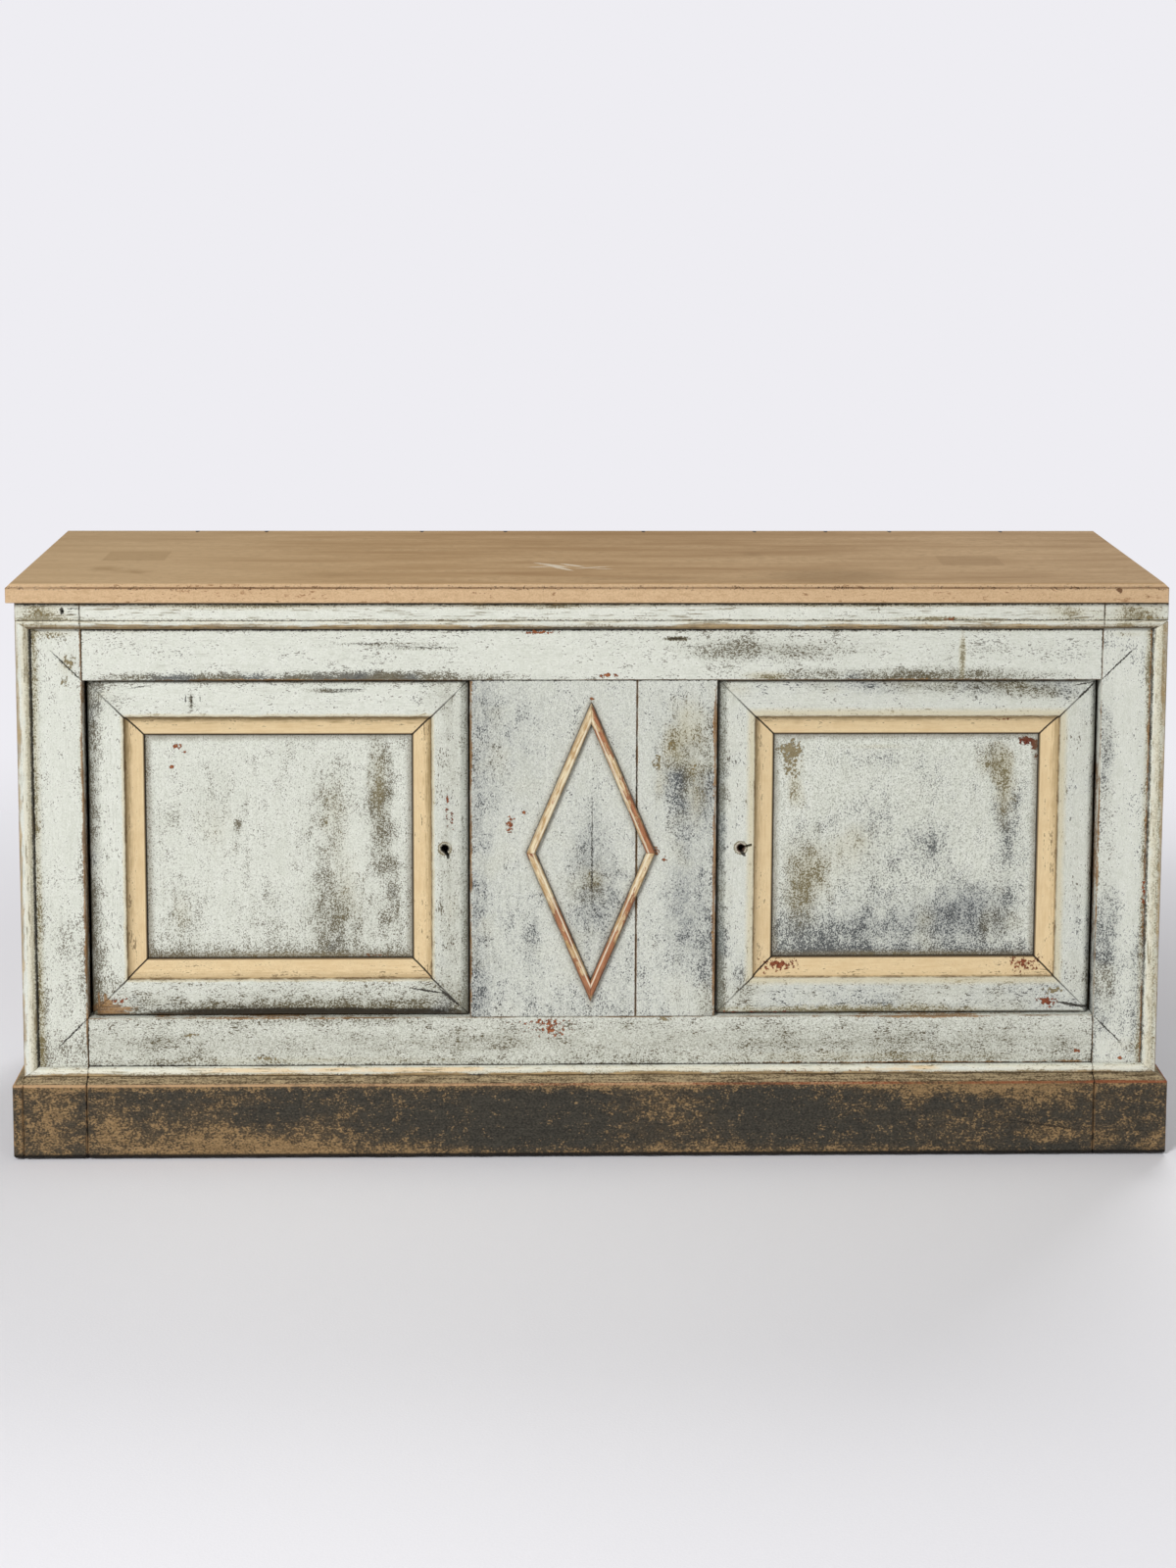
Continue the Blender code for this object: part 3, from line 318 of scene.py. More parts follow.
def old_paint(
    name, grain, wear=0.0, crazed=0.2, dashes=1.8, bluish=0.5,
    worn=(), smears=(), stains=(), flakes=(), chips=(), bare=(), lines=(),
    ground=((122, 66, 42), (176, 110, 70)),
):
    """Pale grey-green paint, worn to specks of the dark coat below, with its marks where they are seen.
    crazed says how dark its fine dots are, dashes how long the specks are along the grain, and bluish
    how cool the dark coat is. worn adds specks, smears thin the paint, stains are brown bloom, flakes show
    ochre and chips the red-brown ground, bare is rubbed to wood, and lines are dark lines: dirt in joints
    and cracks, and painted shadow under overhangs."""
    f = Finish(name)
    f.grain = grain
    cloud = f.clouds(0.09, drawn_out(grain, 1.6), detail=3, rough=0.6)
    f.streak = f.clouds(0.010, drawn_out(grain, 8), detail=3, rough=0.6, shift=7.3)
    f.cluster = f.clouds(0.022, drawn_out(grain, 1.5), detail=5, rough=0.68, shift=1.7)
    f.grit = f.clouds(0.0021, drawn_out(grain, dashes), detail=2, rough=0.6, shift=4.3)
    f.fibre = f.clouds(0.0026, drawn_out(grain, 14), detail=2, shift=9.1)
    dots = f.clouds(0.0023, drawn_out(grain, 1.2), detail=2, rough=0.6, shift=6.2)
    uneven = (f.streak - 0.5) * 0.5 + (f.cluster - 0.5) * 0.9
    use = (cloud - 0.5) * 1.2 + f.z.rise(0.60, 0.16) * 0.6 + wear
    if worn:
        use = use + f.marks(worn)
    thin = (use + uneven).rise(0.1, 2.2) * 0.9
    if smears:
        thin = thin + f.marks(smears) * (uneven + 1.0)
    dashed = (f.grit * 1.1 + f.cluster * 0.75 + use * 0.07).rise(1.105, 1.165)
    dotted = (dots * 1.2 + uneven * 0.4 + use * 0.23).rise(0.87, 1.03)
    f.specks = dashed.most(dotted * 0.85)
    pale = (f.grit * 0.5 + f.cluster * 0.5 + dots * 0.3).rise(0.45, 0.85)
    paint = f.coat((220, 223, 210), (248, 250, 241), pale)
    paint = f.coat(paint, (253, 254, 248), dots.rise(0.42, 0.28) * 0.6)
    paint = f.coat(paint, (160, 161, 146), dots.rise(0.45, 0.68) * crazed)
    paint = f.coat(paint, (168, 168, 153), (f.fibre * 0.7 + f.streak * 0.4).rise(0.55, 0.8) * 0.3)
    cool = (f.clouds(0.09, detail=2, shift=12.4) + (bluish - 0.5)).rise(0.38, 0.62)
    mottled = dots.rise(0.3, 0.7) * 0.7 + 0.5
    paint = f.coat(paint, f.coat((142, 139, 121), (134, 138, 140), cool), thin.rise(0.0, 1.7) * mottled)
    dark = f.coat((84, 72, 42), (66, 69, 70), cool)
    f.colour = f.coat(paint, dark, f.specks * (thin.rise(0.0, 0.8) * 0.2 + 0.68))
    f.height = f.specks * -0.5 + f.fibre * 0.25 + f.cluster * 0.15
    if stains:
        bloom = f.marks(stains)
        f.lay((190, 178, 138), (bloom + uneven * 0.5).rise(0.1, 1.2) * 0.4)
        olive = (dots * 0.7 + f.grit * 0.5 + uneven * 0.6 + bloom * 0.26).rise(0.84, 0.94)
        f.lay((118, 106, 68), olive * bloom.rise(0.0, 0.3) * 0.72)
    f.peeled = (f.clouds(0.0060, detail=4, rough=0.66, shift=2.2) - 0.5) * 3.0
    if flakes:
        gone = f.patches(flakes, f.peeled, 0.5, 0.58)
        ochre = f.coat((116, 100, 62), (152, 136, 94), f.grit.rise(0.35, 0.65))
        f.lay(ochre, gone * 0.9)
        f.height = f.height - gone * 0.9
    if bare:
        gone = f.patches(bare, (f.streak - 0.5) * 1.6 + (f.cluster - 0.5) * 0.8, 0.35, 0.55)
        f.lay(f.coat((110, 78, 44), (170, 128, 78), f.fibre.rise(0.35, 0.65)), gone * 0.85)
    if lines:
        # Dark lines: dirt in joints and cracks, and painted shadow where a line lies under an overhang.
        darkening = f.patches(lines, (f.cluster - 0.5) * 0.6 + (f.streak - 0.5) * 0.5, 0.15, 0.7)
        f.lay((42, 36, 28), darkening * 0.92)
    if chips:
        f.lay((112, 84, 58), f.patches(chips, f.peeled, 0.42, 0.5) * 0.6)
        gone = f.patches(chips, f.peeled, 0.5, 0.56)
        f.lay(f.coat(*ground, f.grit.rise(0.35, 0.65)), gone)
        f.height = f.height - gone * 0.9
    rubbed = f.arris * (f.cluster * 0.7 + cloud * 0.6).rise(0.5, 0.75)
    f.lay((128, 98, 62), rubbed * 0.85)
    f.shader.inputs["Specular IOR Level"].default_value = 0.25
    return f


def scribed(corner_x, corner_z, sign_x, sign_z):
    """Dirt in the false mitre cut outwards from a corner of a door opening."""
    half = 0.0375
    reach = half * math.sqrt(0.5)
    turn = 45 * sign_x * sign_z
    return (corner_x + sign_x * reach, corner_z + sign_z * reach, half * 1.4, 0.0019, 1.3, -turn)


def before(f, y, blur=0.002):
    """1 on faces in front of y, 0 behind it."""
    return f.y.rise(y + blur, y - blur)


def on_ends(f):
    """1 on the outer faces of both ends, 0 between them."""
    return f.x.size().rise(*END_SKIN)


def close_paint(f, painted):
    """Ends a painted finish: bare wood wherever painted is 0."""
    f.colour = f.coat(bare_wood(f, f.grain)[0], f.colour, painted)
    return f.close(f.specks * 0.2 + 0.55, f.height, 0.0006)


def close_front(f):
    """Ends a finish that is painted where it shows from the front, and bare behind."""
    return close_paint(f, before(f, FRONT_BACK))


def close_outside(f):
    """Ends a finish that is painted where it shows from the front and the ends, and bare behind."""
    return close_paint(f, before(f, FRONT_BACK).most(on_ends(f)))


OPENING_LOW, OPENING_HIGH, OPENING_SIDE = 0.2465, 0.849, 0.884
post_left = close_outside(old_paint(
    "paint_left_post", Z, wear=0.25, crazed=0.2, bluish=0.15,
    worn=[
        (-0.971, 0.5, 0.026, 9, 0.9), (-0.884, 0.5, 0.018, 9, 0.6), (-0.93, 0.2, 0.07, 0.09, 0.2),
        (-0.93, 0.45, 0.04, 0.2, 0.4),
    ],
    stains=[
        (-0.966, 0.5, 0.012, 9, 1.2), (-0.911, 0.878, 0.018, 0.03, 1.1), (-0.93, 0.932, 0.06, 0.012, 1),
        (-0.888, 0.7, 0.006, 0.2, 0.8),
    ],
    flakes=[
        (-0.904, 0.878, 0.016, 0.028, 0.8), (-0.914, 0.845, 0.018, 0.02, 0.5),
        (-0.935, 0.925, 0.04, 0.012, 0.5),
    ],
    bare=[(-0.8855, 0.55, 0.0045, 9, 0.75)],
    lines=[
        (-0.971, 0.5, 0.0032, 9, 0.9), (-0.884, 0.97, 0.0022, 0.13, 1.1), (-0.884, 0.18, 0.0022, 0.07, 1.1),
        scribed(-OPENING_SIDE, OPENING_HIGH, -1, 1), scribed(-OPENING_SIDE, OPENING_LOW, -1, -1),
    ],
))
post_right = close_outside(old_paint(
    "paint_right_post", Z, wear=0.1, crazed=0.15, bluish=0.6,
    worn=[
        (0.968, 0.5, 0.022, 9, 0.9), (0.905, 0.44, 0.03, 0.26, 0.8), (0.886, 0.5, 0.014, 9, 0.6),
        (0.9, 0.74, 0.02, 0.16, 1), (0.93, 0.33, 0.06, 0.16, 0.5),
    ],
    smears=[(0.905, 0.42, 0.03, 0.25, 0.3), (0.92, 0.36, 0.06, 0.2, 0.1), (0.9, 0.74, 0.022, 0.15, 0.4)],
    stains=[
        (0.966, 0.5, 0.009, 9, 1), (0.966, 0.88, 0.01, 0.05, 0.9), (0.94, 0.19, 0.05, 0.03, 0.6),
        (0.93, 0.93, 0.06, 0.01, 0.8),
    ],
    chips=[(0.968, 0.46, 0.005, 0.05, 0.7), (0.934, 0.167, 0.006, 0.005, 1.2)],
    bare=[(0.885, 0.55, 0.003, 0.33, 0.8), (0.969, 0.55, 0.004, 9, 0.7)],
    lines=[
        (0.971, 0.5, 0.0022, 9, 0.7), (0.884, 0.97, 0.0022, 0.13, 1.1), (0.884, 0.18, 0.0022, 0.07, 1.1),
        scribed(OPENING_SIDE, OPENING_HIGH, 1, 1), scribed(OPENING_SIDE, OPENING_LOW, 1, -1),
    ],
))
worn_piece("left_front_post", post_left)
worn_piece("right_front_post", post_right)

# Rails of the front
# A wide rail over the doors and one under them, tenoned into the posts, grain lengthwise.
# The upper one is dirty along its lower edge, over the doors, where hands reach for it.


def at_posts(middle, half, width=0.0025, strength=1):
    """Dirt in the joints where a level piece meets the two posts."""
    return [(side * OPENING_SIDE, middle, width, half, strength) for side in (-1, 1)]


rail_over = close_front(old_paint(
    "paint_top_rail", X, wear=0.3, dashes=2.8, bluish=0.33,
    worn=[
        (-0.45, 0.851, 0.5, 0.02, 2.2), (-0.74, 0.854, 0.17, 0.014, 1.2), (-0.36, 0.858, 0.13, 0.012, 0.9),
        (0.55, 0.853, 0.4, 0.024, 1.6), (0.33, 0.905, 0.22, 0.035, 0.9), (0.142, 0.922, 0.03, 0.005, 3),
        (-0.366, 0.913, 0.16, 0.006, 1.2), (-0.3, 0.905, 0.11, 0.005, 1.2), (0, 0.94, 9, 0.01, 0.9),
        (0.7, 0.9, 0.25, 0.03, 0.5), (0.21, 0.9, 0.09, 0.05, 0.9),
    ],
    smears=[(0.33, 0.905, 0.2, 0.03, 0.5), (0.6, 0.862, 0.3, 0.016, 0.5), (0.142, 0.921, 0.03, 0.006, 1)],
    stains=[
        (0.3, 0.856, 0.06, 0.012, 1.6), (0.64, 0.891, 0.009, 0.055, 2.2), (0.7, 0.937, 0.3, 0.006, 0.6),
        (-0.8, 0.937, 0.2, 0.006, 0.6),
    ],
    chips=[(-0.092, 0.934, 0.05, 0.006, 0.8), (0.024, 0.857, 0.035, 0.006, 0.8)],
    bare=[(-0.55, 0.8495, 0.36, 0.0035, 0.9), (0.55, 0.8495, 0.36, 0.003, 0.7)],
    lines=[
        # The first line, under the fascia's bead, is painted shadow; the others are dirt in joints and
        # scratches.
        (0, 0.94, 9, 0.0055, 1.2), *at_posts(0.9, 0.2), (-0.4, 0.9135, 0.09, 0.0013, 0.7),
        (-0.28, 0.9065, 0.07, 0.0013, 0.8), (-0.33, 0.9095, 0.05, 0.0011, 0.6),
        (0.142, 0.922, 0.026, 0.0028, 0.9), (0.165, 0.909, 0.016, 0.0013, 0.7),
    ],
))
worn_piece("top_front_rail", rail_over)
rail_under = close_front(old_paint(
    "paint_bottom_rail", X, wear=-0.15, dashes=2.6, crazed=0.6, bluish=0.22,
    worn=[
        (0.55, 0.19, 0.42, 0.04, 0.4), (-0.5, 0.243, 0.45, 0.016, 0.9), (0, 0.165, 9, 0.014, 0.5),
        (-0.75, 0.2, 0.12, 0.05, 0.5), (-0.2, 0.21, 0.2, 0.04, 0.4),
    ],
    smears=[(0, 0.2, 9, 0.09, 0.75)],
    stains=[(0.5, 0.17, 0.5, 0.016, 0.7), (-0.5, 0.168, 0.4, 0.012, 0.7), (0, 0.2, 0.9, 0.05, 0.25)],
    flakes=[
        (-0.576, 0.172, 0.03, 0.007, 0.85), (0.126, 0.243, 0.022, 0.01, 0.75),
        (-0.705, 0.215, 0.022, 0.008, 0.7),
    ],
    chips=[
        (-0.085, 0.236, 0.085, 0.01, 0.62), (-0.072, 0.22, 0.055, 0.014, 0.6),
        (0.856, 0.18, 0.014, 0.006, 0.9),
    ],
    bare=[
        (-0.55, 0.2455, 0.36, 0.003, 0.8), (0.6, 0.245, 0.3, 0.0035, 0.9), (0.55, 0.1615, 0.5, 0.004, 0.9),
    ],
    lines=[(0, 0.1595, 9, 0.004, 0.8), *at_posts(0.2, 0.2)],
))
worn_piece("bottom_front_rail", rail_under)

# Boards between the doors
# Two upright boards, tenoned into both rails and butted together right of the middle.
# Their paint is smeared blue-grey, and cracked down the middle behind the lozenge.
LOZENGE_X, LOZENGE_Z = -0.004, 0.54325
LOZENGE_WIDE, LOZENGE_HIGH = 0.1125, 0.2673
STICK_WIDE = 0.0145


def past_lozenge(f):
    """How far a place lies outside the lozenge's outer edge, or inside if less than 0."""
    leant = (f.x - LOZENGE_X).size() * LOZENGE_HIGH + (f.z - LOZENGE_Z).size() * LOZENGE_WIDE
    return (leant - LOZENGE_WIDE * LOZENGE_HIGH) * (1 / math.hypot(LOZENGE_WIDE, LOZENGE_HIGH))


between = old_paint(
    "paint_centre_boards", Z, wear=0.05, crazed=0.4, bluish=0.62,
    worn=[
        (-0.146, 0.753, 0.07, 0.14, 0.4), (0.15, 0.68, 0.06, 0.18, 1.7), (0.16, 0.45, 0.05, 0.13, 0.8),
        (0, 0.47, 0.07, 0.13, 1), (-0.002, 0.6, 0.03, 0.1, 0.7), (-0.205, 0.5, 0.03, 9, 0.6),
        (0.205, 0.5, 0.03, 9, 0.7), (-0.12, 0.4, 0.08, 0.12, 0.5),
    ],
    smears=[
        (-0.146, 0.753, 0.08, 0.16, 0.25), (0.16, 0.45, 0.05, 0.14, 0.5), (0, 0.5, 0.06, 0.15, 0.5),
        (0, 0.55, 9, 9, 0.5), (0.18, 0.65, 0.05, 0.15, 0.4), (-0.2, 0.5, 0.05, 9, 0.3),
    ],
    stains=[
        (0.13, 0.718, 0.03, 0.06, 0.8), (0.115, 0.66, 0.02, 0.05, 0.8), (0.16, 0.76, 0.05, 0.09, 1.2),
        (0.18, 0.64, 0.03, 0.08, 1), (0, 0.5, 0.07, 0.12, 0.4),
    ],
    flakes=[
        (0.112, 0.7, 0.014, 0.024, 0.8), (0.135, 0.735, 0.016, 0.016, 0.75),
        (0.175, 0.69, 0.012, 0.03, 0.55),
    ],
    chips=[
        (-0.146, 0.592, 0.014, 0.022, 0.75), (0.111, 0.545, 0.008, 0.014, 0.9),
        (0.124, 0.53, 0.006, 0.01, 0.9), (-0.121, 0.615, 0.006, 0.007, 0.9),
        (-0.003, 0.8165, 0.004, 0.004, 1.8),
    ],
    bare=[(0.212, 0.55, 0.005, 9, 0.75), (-0.213, 0.55, 0.0032, 9, 0.7)],
    lines=[
        (-0.002, 0.54, 0.0022, 0.19, 0.8), (0.0755, 0.548, 0.0025, 0.8, 0.9), (0, 0.849, 9, 0.002, 0.8),
        (0, 0.2465, 9, 0.002, 0.8), (0.215, 0.55, 0.002, 9, 0.7), (-0.215, 0.55, 0.002, 9, 0.6),
    ],
)
# Painted shade and dirt round the lozenge's sticks: a soft brown halo on the boards and a dark line where
# they meet.
from_stick = (past_lozenge(between) + STICK_WIDE / 2).size() - STICK_WIDE / 2
from_stick = from_stick + (between.cluster - 0.5) * 0.008
between.lay((126, 110, 78), from_stick.rise(0.012, 0.0) * 0.3)
between.lay((52, 42, 30), from_stick.rise(0.0030, 0.0) * 0.65)
boards_paint = close_front(between)
worn_piece("centre_board_left", boards_paint)
worn_piece("centre_board_right", boards_paint)

# Ends of the cabinet
# Each end is a framed panel between the front post and a rear post, painted as the front is.
# Rails and panel sit in grooves of the posts; the inside was left bare.


def end_paint(name, grain):
    f = old_paint(
        name, grain, wear=0.4,
        stains=[(0, 0.25, 9, 0.03, 0.5), (0, 0.9, 9, 0.02, 0.4)],
        lines=[(0, 0.2465, 9, 0.003, 0.7), (0, 0.899, 9, 0.003, 0.7)],
    )
    return close_paint(f, on_ends(f))


end_upright = end_paint("paint_ends_upright", Z)
end_level = end_paint("paint_ends_level", Y)
for side in ("left", "right"):
    worn_piece(f"{side}_rear_post", end_upright)
    worn_piece(f"{side}_end_panel", end_upright)
    worn_piece(f"{side}_end_top_rail", end_level)
    worn_piece(f"{side}_end_bottom_rail", end_level)

# Back of the cabinet
# Three wide bare boards, laid level in the rebates of the rear posts.
# They are held by forged nails along the posts and the rear rails.
NAIL_HEAD = 0.007
NAIL_RISE = 0.0014
POST_NAIL_X = 0.957
RAIL_NAIL_ROWS = (0.948, 0.196)
RAIL_NAIL_FIRST, RAIL_NAIL_STEP = -0.84, 0.21
BACK_FACE = 0.298
HEAD_LEAN = 0.06
HEAD_SEED = 5


def iron_finish():
    """Dark forged iron with a bloom of rust."""
    f = Finish("old_iron")
    rust = f.clouds(0.010, detail=4, rough=0.65)
    pits = f.clouds(0.0018, detail=3, shift=3.3)
    f.colour = f.coat((58, 52, 48), (104, 66, 42), rust.rise(0.48, 0.7) * 0.8)
    f.lay((118, 112, 106), f.arris * rust.rise(0.3, 0.6) * 0.6)
    f.shader.inputs["Metallic"].default_value = 0.7
    return f.close(rust * 0.4 + 0.35, pits, 0.0004)


def heads(name, points, width, rise, slot_width, material, body):
    """Nail or screw heads on faces that look backwards: one for each point, each turned its own way."""
    spots = bpy.data.meshes.new(name)
    spots.from_pydata(points, [], [])
    piece = add_object(name, spots)
    tree = bpy.data.node_groups.new(f"{name}_heads", "GeometryNodeTree")
    tree.interface.new_socket("Geometry", in_out="INPUT", socket_type="NodeSocketGeometry")
    sizes = {"Width": width, "Rise": rise, "Slot width": slot_width}
    sockets = {}
    for key in sizes:
        sockets[key] = tree.interface.new_socket(key, in_out="INPUT", socket_type="NodeSocketFloat")
    sockets["Seed"] = tree.interface.new_socket("Seed", in_out="INPUT", socket_type="NodeSocketInt")
    tree.interface.new_socket("Geometry", in_out="OUTPUT", socket_type="NodeSocketGeometry")
    node = partial(add_node, tree)
    entry = node("NodeGroupInput", {})

    def widths(by):
        return node("ShaderNodeMath", {0: entry["Width"], 1: by}, operation="MULTIPLY")[0]

    head = node("GeometryNodeMeshCone", {
        "Vertices": 10, "Side Segments": 2, "Depth": entry["Rise"],
        "Radius Top": widths(0.30), "Radius Bottom": widths(0.5),
    })["Mesh"]
    if slot_width:
        span = node("ShaderNodeCombineXYZ", {0: widths(1.5), 1: entry["Slot width"], 2: entry["Rise"]})[0]
        bar = node("GeometryNodeMeshCube", {"Size": span})["Mesh"]
        lift = node("ShaderNodeCombineXYZ", {2: entry["Rise"]})[0]
        raised = node("GeometryNodeTransform", {"Geometry": bar, "Translation": lift})[0]
        head = node("GeometryNodeMeshBoolean", {0: head, 1: raised}, operation="DIFFERENCE")["Mesh"]
    back = -math.pi / 2
    turn = node("FunctionNodeRandomValue", {
        0: (back - HEAD_LEAN, 0, -HEAD_LEAN), 1: (back + HEAD_LEAN, math.tau, HEAD_LEAN),
        "Seed": entry["Seed"],
    }, data_type="FLOAT_VECTOR")[0]
    grow = node("FunctionNodeRandomValue", {2: 0.85, 3: 1.1, "Seed": entry["Seed"]}, data_type="FLOAT")[1]
    dots = node("GeometryNodeMeshToPoints", {"Mesh": entry["Geometry"]})["Points"]
    set_on = node("GeometryNodeInstanceOnPoints", {
        "Points": dots, "Instance": head, "Rotation": turn, "Scale": grow,
    })["Instances"]
    whole = node("GeometryNodeRealizeInstances", {"Geometry": set_on})["Geometry"]
    finish = node("GeometryNodeSetMaterial", {"Geometry": whole, "Material": material})["Geometry"]
    node("NodeGroupOutput", {"Geometry": finish})
    modifier = piece.modifiers.new("heads", "NODES")
    modifier.node_group = tree
    for key, value in sizes.items():
        modifier[sockets[key].identifier] = value
    modifier[sockets["Seed"].identifier] = HEAD_SEED
    drawn = piece.evaluated_get(bpy.context.evaluated_depsgraph_get())
    mesh = bpy.data.meshes.new_from_object(drawn)
    piece.modifiers.clear()
    piece.data = mesh
    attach(piece, body)


old_iron = iron_finish()
nails = []
for board, node in enumerate(("back_board_lower", "back_board_middle", "back_board_upper"), 1):
    worn_piece(node, wood_finish(f"bare_{node}", X, board * 2.7), pitch=0.06, arris=0.002)
    low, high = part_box(node)
    for share in (0.15, 0.5, 0.85):
        level = low.z + share * (high.z - low.z)
        for side in (-1, 1):
            stray = 0.006 * noise.noise((share * 9, low.z * 17, side * 3.3))
            nails.append((side * POST_NAIL_X + stray, BACK_FACE, level + stray))
for row in RAIL_NAIL_ROWS:
    for i in range(9):
        stray = 0.012 * noise.noise((i * 3.7, row * 13, 0.5))
        nails.append((RAIL_NAIL_FIRST + i * RAIL_NAIL_STEP + stray, BACK_FACE, row + stray * 0.6))
heads("back_nails", nails, NAIL_HEAD, NAIL_RISE, 0, old_iron, "carcass")

# Plinth
# A board between the posts, a block on each post and a board along each end, their top edge sloped.
# Charcoal paint, kicked and mopped down to tan wood at the joints and along the floor.
PLINTH_TOP = 0.134
PLINTH_SHADE = 0.0105


def plinth_finish(name, grain, bare=0.2):
    """Charcoal paint over tan wood; bare says how much of the wood is left showing."""
    f = Finish(name)
    area = f.clouds(0.11, drawn_out(grain, 1.8), detail=3)
    flake = f.clouds(0.013, drawn_out(grain, 1.2), detail=6, rough=0.72, shift=2.9)
    grit = f.clouds(0.0028, drawn_out(grain, 1.4), detail=2, shift=5.5)
    streak = f.clouds(0.0035, drawn_out(grain, 14), detail=2, shift=8.2)
    kicked = f.marks([
        (-0.95, 0.07, 0.075, 0.9, 0.6), (-0.84, 0.06, 0.05, 0.1, 0.6), (-0.68, 0.03, 0.28, 0.075, 0.9),
        (-0.45, 0.012, 0.4, 0.03, 0.7), (0.2, 0.008, 0.6, 0.022, 0.7), (0, 0.132, 9, 0.01, 0.5),
        (0.66, 0.126, 0.26, 0.022, 1.1), (0.57, 0.108, 0.035, 0.03, 0.8), (0.8, 0.11, 0.09, 0.035, 0.7),
        (0.815, 0.042, 0.075, 0.026, 0.9), (0.9, 0.03, 0.05, 0.03, 0.7), (0, 0.128, 0.3, 0.014, 0.5),
        (-0.6, 0.11, 0.1, 0.03, 0.4), (0.99, 0.02, 0.04, 0.03, 0.6),
    ])
    kept = f.marks([
        (-0.57, 0.09, 0.1, 0.06, 0.5), (-0.1, 0.07, 0.24, 0.1, 0.5), (0.36, 0.07, 0.28, 0.1, 0.35),
    ])
    fleck = f.clouds(0.0042, drawn_out(grain, 1.3), detail=3, rough=0.7, shift=11.4)
    zone = (area - 0.5) * 0.8 + (flake - 0.5) * 1.2 + kicked * 0.7 - kept * 0.6 + bare * 0.3
    shown = (flake * 0.6 + fleck * 0.7 + (grit - 0.5) * 0.5 + zone * 0.34).rise(0.73, 0.89)
    dark = f.coat((42, 40, 35), (74, 70, 61), (grit * 0.9 + streak * 0.3).rise(0.35, 0.85))
    wood = f.coat((116, 92, 60), (180, 148, 104), (streak * 0.5 + grit * 0.7).rise(0.35, 0.85))
    thin = zone.rise(-0.15, 0.65) * (grit.rise(0.25, 0.75) * 0.8 + 0.2)
    f.colour = f.coat(f.coat(dark, (112, 91, 63), thin), wood, shown * 0.75)
    crack = f.marks([(0.8, 0.056, 0.1, 0.0022, 1, 8), (0.73, 0.061, 0.05, 0.0016, 0.7, 4)])
    f.lay((34, 30, 24), crack.rise(0.1, 0.6) * 0.8)
    slope = f.z.rise(PLINTH_TOP + 0.001, PLINTH_TOP + 0.003)
    dusty = (streak * 0.7 + flake * 0.6 + grit * 0.7).rise(0.78, 1.22)
    f.lay(f.coat((84, 70, 50), (188, 168, 132), dusty), slope * 0.95)
    edge = (f.z - PLINTH_TOP).size().rise(0.0024, 0.0010) * (flake * 0.6 + area * 0.7).rise(0.4, 0.7)
    knocked = (grit * 0.6 + area * 0.6 - f.x * 0.25).rise(0.42, 0.72)
    f.lay(f.coat((146, 84, 54), (204, 166, 126), knocked), edge * 0.9)
    joints = f.marks(at_posts(0.07, 0.8, 0.002))
    f.lay((30, 26, 20), joints.rise(0.2, 0.7) * 0.9)
    f.lay((140, 110, 76), f.arris * flake.rise(0.42, 0.6) * 0.7)
    # Painted shadow: a near-black band along the foot, standing for the shade in the gap under the plinth.
    foot_shade = f.z.rise(PLINTH_SHADE + 0.002, PLINTH_SHADE - 0.002)
    f.lay((20, 16, 12), foot_shade * 0.95)
    f.shader.inputs["Specular IOR Level"].default_value = 0.25
    return f.close(0.75, shown * -0.5 + grit * 0.4, 0.0007)


plinth_along = plinth_finish("plinth_paint_front", X)
plinth_deep = plinth_finish("plinth_paint_ends", Y, bare=0.3)
for node in ("plinth_front", "plinth_left_block", "plinth_right_block"):
    worn_piece(node, plinth_along, arris=0.0025, rub=0.002, pitch=0.02)
for node in ("plinth_left_end", "plinth_right_end"):
    worn_piece(node, plinth_deep, arris=0.0025, rub=0.002, pitch=0.02)

# Mouldings round the front
# A fascia under the slab with a bead along its foot, an upright moulding on each post, a base moulding.
# All are thin softwood, nailed on and mitred; paler than the boards, with brown dirt in the quirks, a
# painted highlight on their crowns and painted shade where they turn away.


def moulding_paint(name, grain, across, crown, soiled_and_shaded, brown, peach=(), **kinds):
    """Paint on a rounded moulding: a painted highlight between the bounds of crown, and brown dirt with
    painted shade beyond the next bounds, where the moulding turns away. peach marks where an older cream
    coat shows on the crown."""
    f = old_paint(name, grain, **kinds)
    place = (f.x, f.y, f.z)[across].size()
    stray = (f.streak - 0.5) * 1.3 + (f.cluster - 0.5) * 0.9
    middle, half = (crown[0] + crown[1]) / 2, (crown[1] - crown[0]) / 2
    # Painted highlight: the crown is laid paler, where the light falls on it.
    crown_highlight = (place - middle).size().rise(half * 1.3, half * 0.7) * (stray + 0.6).rise(0.2, 0.7)
    f.lay((240, 233, 208), crown_highlight * 0.55)
    if peach:
        f.lay((236, 206, 160), (f.marks(peach) + stray * 0.5).rise(0.1, 0.5) * crown_highlight * 0.75)
    f.lay((128, 114, 82), (f.fibre * 0.7 + f.streak * 0.6 + f.grit * 0.3).rise(0.86, 0.98) * 0.7)
    # Brown dirt and painted shade on the side of the moulding that turns away.
    soil_and_shade = f.coat((120, 96, 60), (200, 172, 126), (f.fibre * 0.6 + f.cluster * 0.6).rise(0.4, 0.8))
    bits = f.clouds(0.12, drawn_out(grain, 2), detail=3, shift=3.8).rise(0.32, 0.54) * 0.75 + 0.25
    f.lay(soil_and_shade, (place.rise(*soiled_and_shaded) + stray * 1.8).rise(0.4, 0.9) * bits * brown)
    return close_outside(f)


